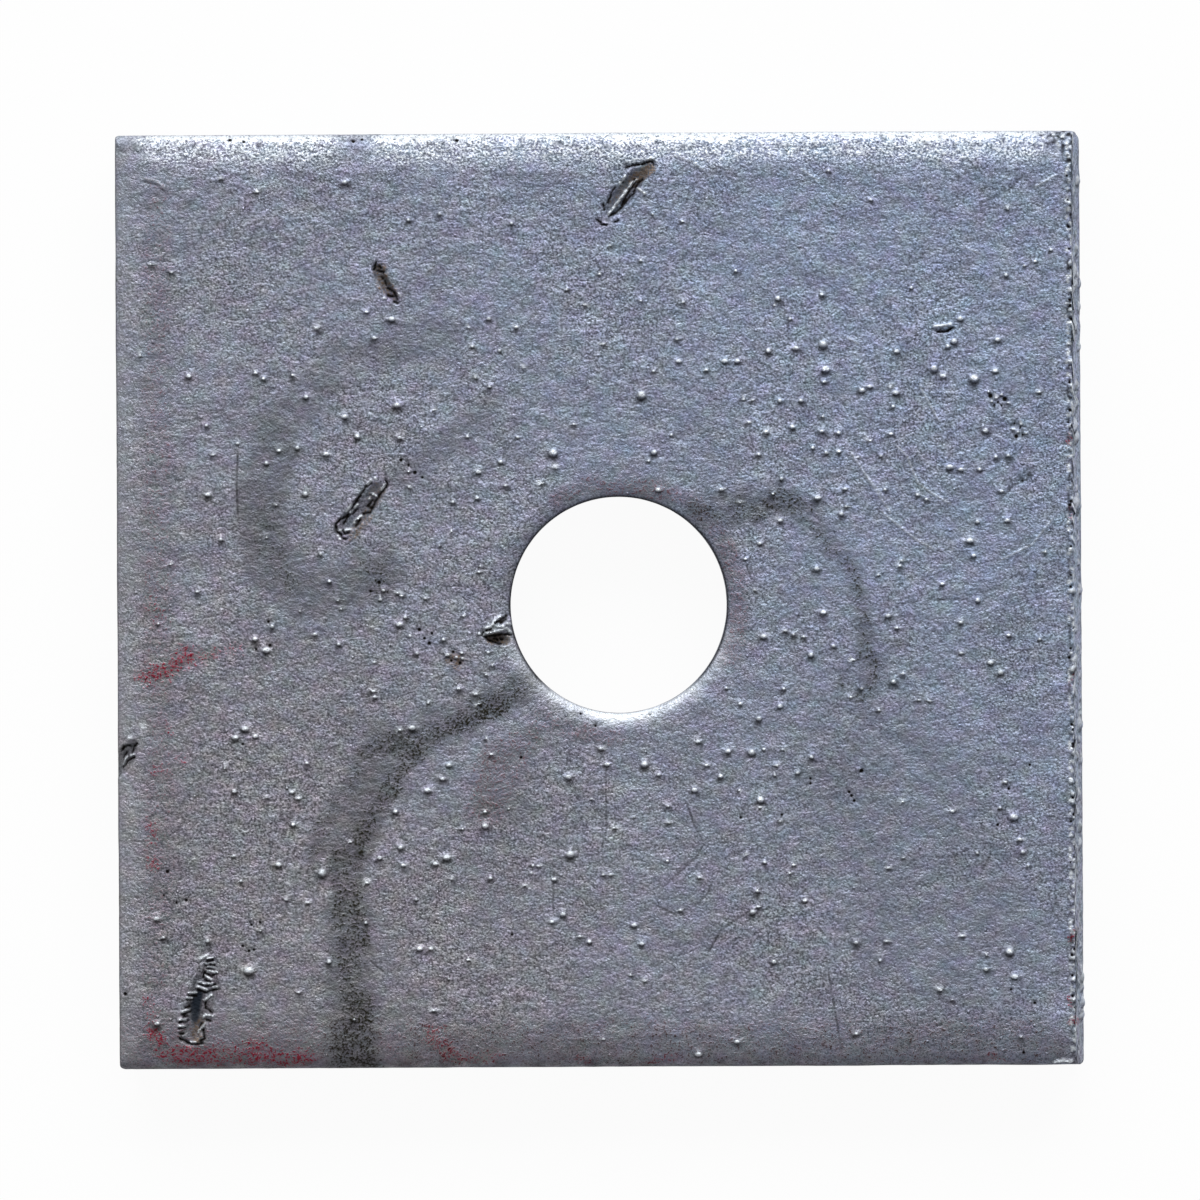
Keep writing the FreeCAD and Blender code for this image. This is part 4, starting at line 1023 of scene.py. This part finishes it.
def galvanised_zinc(look):
    """Hot-dip zinc on rolled steel: a dull, grainy, blue-grey metal skin that frosts as it cools.

    To the eye it is soft and a little sparkling, with cool and neutral clouds and dirt in its pits.
    The plate's marks add painted highlights and painted shade.
    """
    material = bpy.data.materials.new("hot_dip_zinc")
    tree = empty_tree(material)
    place = add_node(tree, "TexCoord")["Object"]
    place = add_node(tree, "VectorMath", {0: place, "Scale": 1.0 / MM}, operation="SCALE")[0]
    drawn = add_node(tree, "VectorMath", {0: place, 1: (0.85, 1.0, 1.0)}, operation="MULTIPLY")[0]

    # Patterns by the width of their features in mm, with their finer detail and its share: frosted grain,
    # drawn coarse enough to be seen; a coarser grain, drawn out along the bar; the peel of the setting zinc;
    # tarnish; lighter and darker patches; and clouds of bluer and greyer zinc. Then come nubs of dross.
    fine, coarse, peel, tarnish, patch, cloud = (
        add_node(tree, "TexNoise", {"Vector": vector, "Scale": 1.0 / width, "Detail": detail,
                                    "Roughness": share})
        for vector, width, detail, share in (
            (place, look.grain / MM, 2.0, 0.6), (drawn, 0.45, 2.0, 0.55), (place, 1.7, 1.0, 0.5),
            (place, 1.3, 3.0, 0.5), (place, 6.0, 3.0, 0.6), (place, 9.0, 4.0, 0.6)))
    nubs = add_node(tree, "TexVoronoi", {"Vector": place, "Scale": 1.0 / 1.1})

    # Strengths that follow the patterns, by two levels of the pattern and the strengths at those levels.
    speckle, shade, grain_share, dull, nub = (
        add_node(tree, "MapRange", {"Value": pattern, "From Min": low, "From Max": high,
                                    "To Min": first, "To Max": last})[0]
        for pattern, low, high, first, last in (
            (fine[0], 0.36, 0.64, 0.4, 1.6), (patch[0], 0.35, 0.65, 0.9, 1.1),
            (cloud[0], 0.38, 0.62, 1.0, 0.55), (coarse[0], 0.3, 0.7, 0.52, 0.68),
            (nubs["Distance"], 0.05, 0.14, 1.2, 0.0)))

    # The zinc gets bluer towards the upper right. Its grain shows more in some places than in others.
    lean = add_node(tree, "VectorMath", {0: place, 1: (0.012, 0.010, 0.0)}, operation="DOT_PRODUCT")["Value"]
    cool = add_node(tree, "Math", {0: cloud[0], 1: 0.8, 2: lean}, operation="MULTIPLY_ADD")[0]
    cool = add_node(tree, "Math", {0: cool, 1: 0.1}, operation="ADD", use_clamp=True)[0]
    speckle = add_node(tree, "Math", {0: speckle, 1: shade}, operation="MULTIPLY")[0]
    colour = (*look.grey_zinc, 1.0)
    for share, tint, way in ((cool, (*look.blue_zinc, 1.0), "MIX"), (0.15, tarnish["Color"], "OVERLAY"),
                             (grain_share, speckle, "MULTIPLY")):
        colour = add_node(tree, "Mix", {MIX_SHARE: share, MIX_FIRST: colour, MIX_SECOND: tint},
                          data_type="RGBA", blend_type=way)[MIX_RESULT]

    # Films, paint and the top edge's painted highlight take to parts of the grain, so each breaks up into
    # specks between two levels. The marks with no levels mix smoothly: bare steel, the other painted
    # highlights, and dirt with painted shade.
    crumble = add_node(tree, "Math", {0: fine[0], 1: 3.6, 2: coarse[0]}, operation="MULTIPLY_ADD")[0]
    crumble = add_node(tree, "Math", {0: crumble, 1: -2.3}, operation="ADD")[0]
    for mark, tint, levels in (
            ("smudge", look.smudge, (-0.2, 1.2)), ("brown", look.brown_tint, (0.28, 1.0)),
            ("rust", look.rust_tint, (0.1, 0.9)), ("red", look.red_mark, (0.35, 1.0)),
            ("stain", look.dark_stain, (0.32, 1.15)), ("frost", look.painted_highlight_zinc, (0.0, 0.8)),
            ("pool", look.pool, None), ("bright", look.painted_highlight_zinc, None), ("dirt", look.dirt_and_shade_colour, None)):
        amount = add_node(tree, "Attribute", attribute_name=mark)["Fac"]
        if levels:
            low, high = levels
            present = add_node(tree, "MapRange", {"Value": amount, "From Max": 0.15})[0]
            amount = add_node(tree, "Math", {0: amount, 1: crumble}, operation="ADD")[0]
            amount = add_node(tree, "MapRange", {"Value": amount, "From Min": low, "From Max": high})[0]
            amount = add_node(tree, "Math", {0: amount, 1: present}, operation="MULTIPLY")[0]
        colour = add_node(tree, "Mix", {MIX_SHARE: amount, MIX_FIRST: colour, MIX_SECOND: (*tint, 1.0)},
                          data_type="RGBA")[MIX_RESULT]

    chosen = add_node(tree, "Math", {0: nubs["Color"], 1: 0.55}, operation="GREATER_THAN")[0]
    relief = fine[0]
    for pattern, strength in ((coarse[0], 1.6), (peel[0], 2.5), (nub, chosen)):
        relief = add_node(tree, "Math", {0: pattern, 1: strength, 2: relief}, operation="MULTIPLY_ADD")[0]
    bump = add_node(tree, "Bump", {"Height": relief, "Strength": 1.0, "Distance": 0.08 * MM})[0]

    # Dirt and painted shade aren't metal, and are duller than the zinc.
    dirt = add_node(tree, "Attribute", attribute_name="dirt")["Fac"]
    metal = add_node(tree, "Math", {0: dirt, 1: -0.92, 2: 0.92}, operation="MULTIPLY_ADD")[0]
    dull = add_node(tree, "Math", {0: dirt, 1: 0.25, 2: dull}, operation="MULTIPLY_ADD")[0]
    surface = add_node(tree, "BsdfPrincipled", {"Base Color": colour, "Metallic": metal, "Roughness": dull,
                                                "Specular IOR Level": 0.1, "Normal": bump})[0]
    add_node(tree, "OutputMaterial", {"Surface": surface})
    return material


def painted_floor(look):
    """Matt pale paint on a flat board: nearly white where it is seen or reflected, with a soft shadow."""
    material = bpy.data.materials.new("matt_pale_paint")
    tree = empty_tree(material)
    ray = add_node(tree, "LightPath")
    seen = ray["Is Camera Ray"]
    for other in ("Is Glossy Ray", "Is Transmission Ray"):
        seen = add_node(tree, "Math", {0: seen, 1: ray[other]}, operation="MAXIMUM")[0]
    share = add_node(tree, "Math", {0: seen, 1: look.floor_white}, operation="MULTIPLY")[0]
    paint = add_node(tree, "BsdfPrincipled", {"Base Color": (*look.floor, 1.0), "Roughness": 0.9})[0]
    white = add_node(tree, "Emission", {"Color": WHITE, "Strength": 1.0})[0]
    both = add_node(tree, "MixShader", {0: share, 1: paint, 2: white})[0]
    add_node(tree, "OutputMaterial", {"Surface": both})
    return material


def even_light(look):
    """A world of even light all round, which is plain white to the camera."""
    world = bpy.data.worlds.new("even_light")
    tree = empty_tree(world)
    to_camera = add_node(tree, "LightPath")["Is Camera Ray"]
    sky = add_node(tree, "Background", {"Color": WHITE, "Strength": look.sky})[0]
    white = add_node(tree, "Background", {"Color": WHITE, "Strength": 1.0})[0]
    both = add_node(tree, "MixShader", {0: to_camera, 1: sky, 2: white})[0]
    add_node(tree, "OutputWorld", {"Surface": both})
    return world


def put(scene, name, data):
    """A new object of that name in the scene."""
    made = bpy.data.objects.new(name, data)
    scene.collection.objects.link(made)
    return made


class BEARING_PLATE_OT_make_plate(bpy.types.Operator):
    """Make the galvanised plate with its sheared cuts, punched hole, zinc pimples, scars and stains"""

    bl_idname = "bearing_plate.make_plate"
    bl_label = "Make Galvanised Plate"

    def execute(self, context):
        scene = context.scene
        form = PlateForm(scene.plate_sizes)
        vertices, polygons, marks = plate_mesh(form, scene.zinc_look)
        mesh = bpy.data.meshes.new("galvanised_plate")
        mesh.from_pydata((vertices * MM).tolist(), [], polygons)
        for name, values in marks.items():
            layer = mesh.attributes.new(name, "FLOAT", "POINT")
            layer.data.foreach_set("value", values.astype(np.float32))
        shape = bmesh.new()
        shape.from_mesh(mesh)
        bmesh.ops.recalc_face_normals(shape, faces=shape.faces)
        if any(not edge.is_manifold for edge in shape.edges):
            shape.free()
            raise RuntimeError("the plate's skin isn't closed")
        shape.to_mesh(mesh)
        shape.free()
        mesh.polygons.foreach_set("use_smooth", [True] * len(mesh.polygons))
        mesh.set_sharp_from_angle(angle=SHARP_ANGLE)
        mesh.materials.append(galvanised_zinc(scene.zinc_look))
        plate = put(scene, "galvanised_plate", mesh)
        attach(plate, "root")
        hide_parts("bearing_plate")
        return {"FINISHED"}


class BEARING_PLATE_OT_make_stage(bpy.types.Operator):
    """Make the pale floor, the soft light and the camera that looks down on the plate"""

    bl_idname = "bearing_plate.make_stage"
    bl_label = "Make Stage"

    def execute(self, context):
        scene = context.scene
        look = scene.stage_look
        scene.view_settings.view_transform = "Standard"

        mesh = bpy.data.meshes.new("floor")
        reach = look.floor_reach
        sides = ((-reach, -reach), (reach, -reach), (reach, reach), (-reach, reach))
        mesh.from_pydata([(x, y, -look.floor_gap) for x, y in sides], [], [(0, 1, 2, 3)])
        mesh.materials.append(painted_floor(look))
        floor = put(scene, "floor", mesh)

        lamp = bpy.data.lights.new("soft_lamp", "AREA")
        lamp.shape = "RECTANGLE"
        lamp.size = look.lamp_length
        lamp.size_y = look.lamp_width
        lamp.energy = look.lamp_power
        holder = put(scene, "soft_lamp", lamp)
        holder.location = (0.0, look.lamp_back, look.lamp_height)
        holder.rotation_euler = (-Vector(holder.location)).to_track_quat("-Z", "Y").to_euler()
        holder.visible_camera = False
        scene.world = even_light(look)

        lens = bpy.data.cameras.new("camera")
        lens.lens = lens.sensor_width * look.view_distance / look.view_width
        lens.dof.use_dof = False
        camera = put(scene, "camera", lens)
        middle = (PLATE_LOW.z + PLATE_HIGH.z) / 2
        camera.location = (0.0, 0.0, middle + look.view_distance)
        camera.rotation_euler = (0.0, 0.0, look.view_roll)
        scene.camera = camera
        return {"FINISHED"}


class BEARING_PLATE_PT_sidebar(bpy.types.Panel):
    """Lists the plate's and the stage's settings"""

    bl_idname = "BEARING_PLATE_PT_sidebar"
    bl_label = "Bearing Plate"
    bl_space_type = "VIEW_3D"
    bl_region_type = "UI"
    bl_category = "Bearing Plate"

    def draw(self, context):
        scene = context.scene
        groups = ((BEARING_PLATE_OT_make_plate, (scene.plate_sizes, scene.zinc_look)),
                  (BEARING_PLATE_OT_make_stage, (scene.stage_look,)))
        for operator, settings in groups:
            box = self.layout.box()
            for group in settings:
                for name in group.__annotations__:
                    box.prop(group, name)
            box.operator(operator.bl_idname)


CLASSES = (PlateSizes, ZincLook, StageLook, BEARING_PLATE_OT_make_plate, BEARING_PLATE_OT_make_stage,
           BEARING_PLATE_PT_sidebar)
SETTINGS = {"plate_sizes": PlateSizes, "zinc_look": ZincLook, "stage_look": StageLook}


def register():
    """Adds the classes and their settings to Blender."""
    for made in CLASSES:
        bpy.utils.register_class(made)
    for name, group in SETTINGS.items():
        setattr(bpy.types.Scene, name, PointerProperty(type=group))


def unregister():
    """Takes the settings and the classes out again."""
    for name in SETTINGS:
        delattr(bpy.types.Scene, name)
    for made in reversed(CLASSES):
        bpy.utils.unregister_class(made)


def main():
    """Makes the plate and the stage."""
    register()
    bpy.ops.bearing_plate.make_plate()
    bpy.ops.bearing_plate.make_stage()
    bpy.context.view_layer.update()


if __name__ == "__main__":
    main()
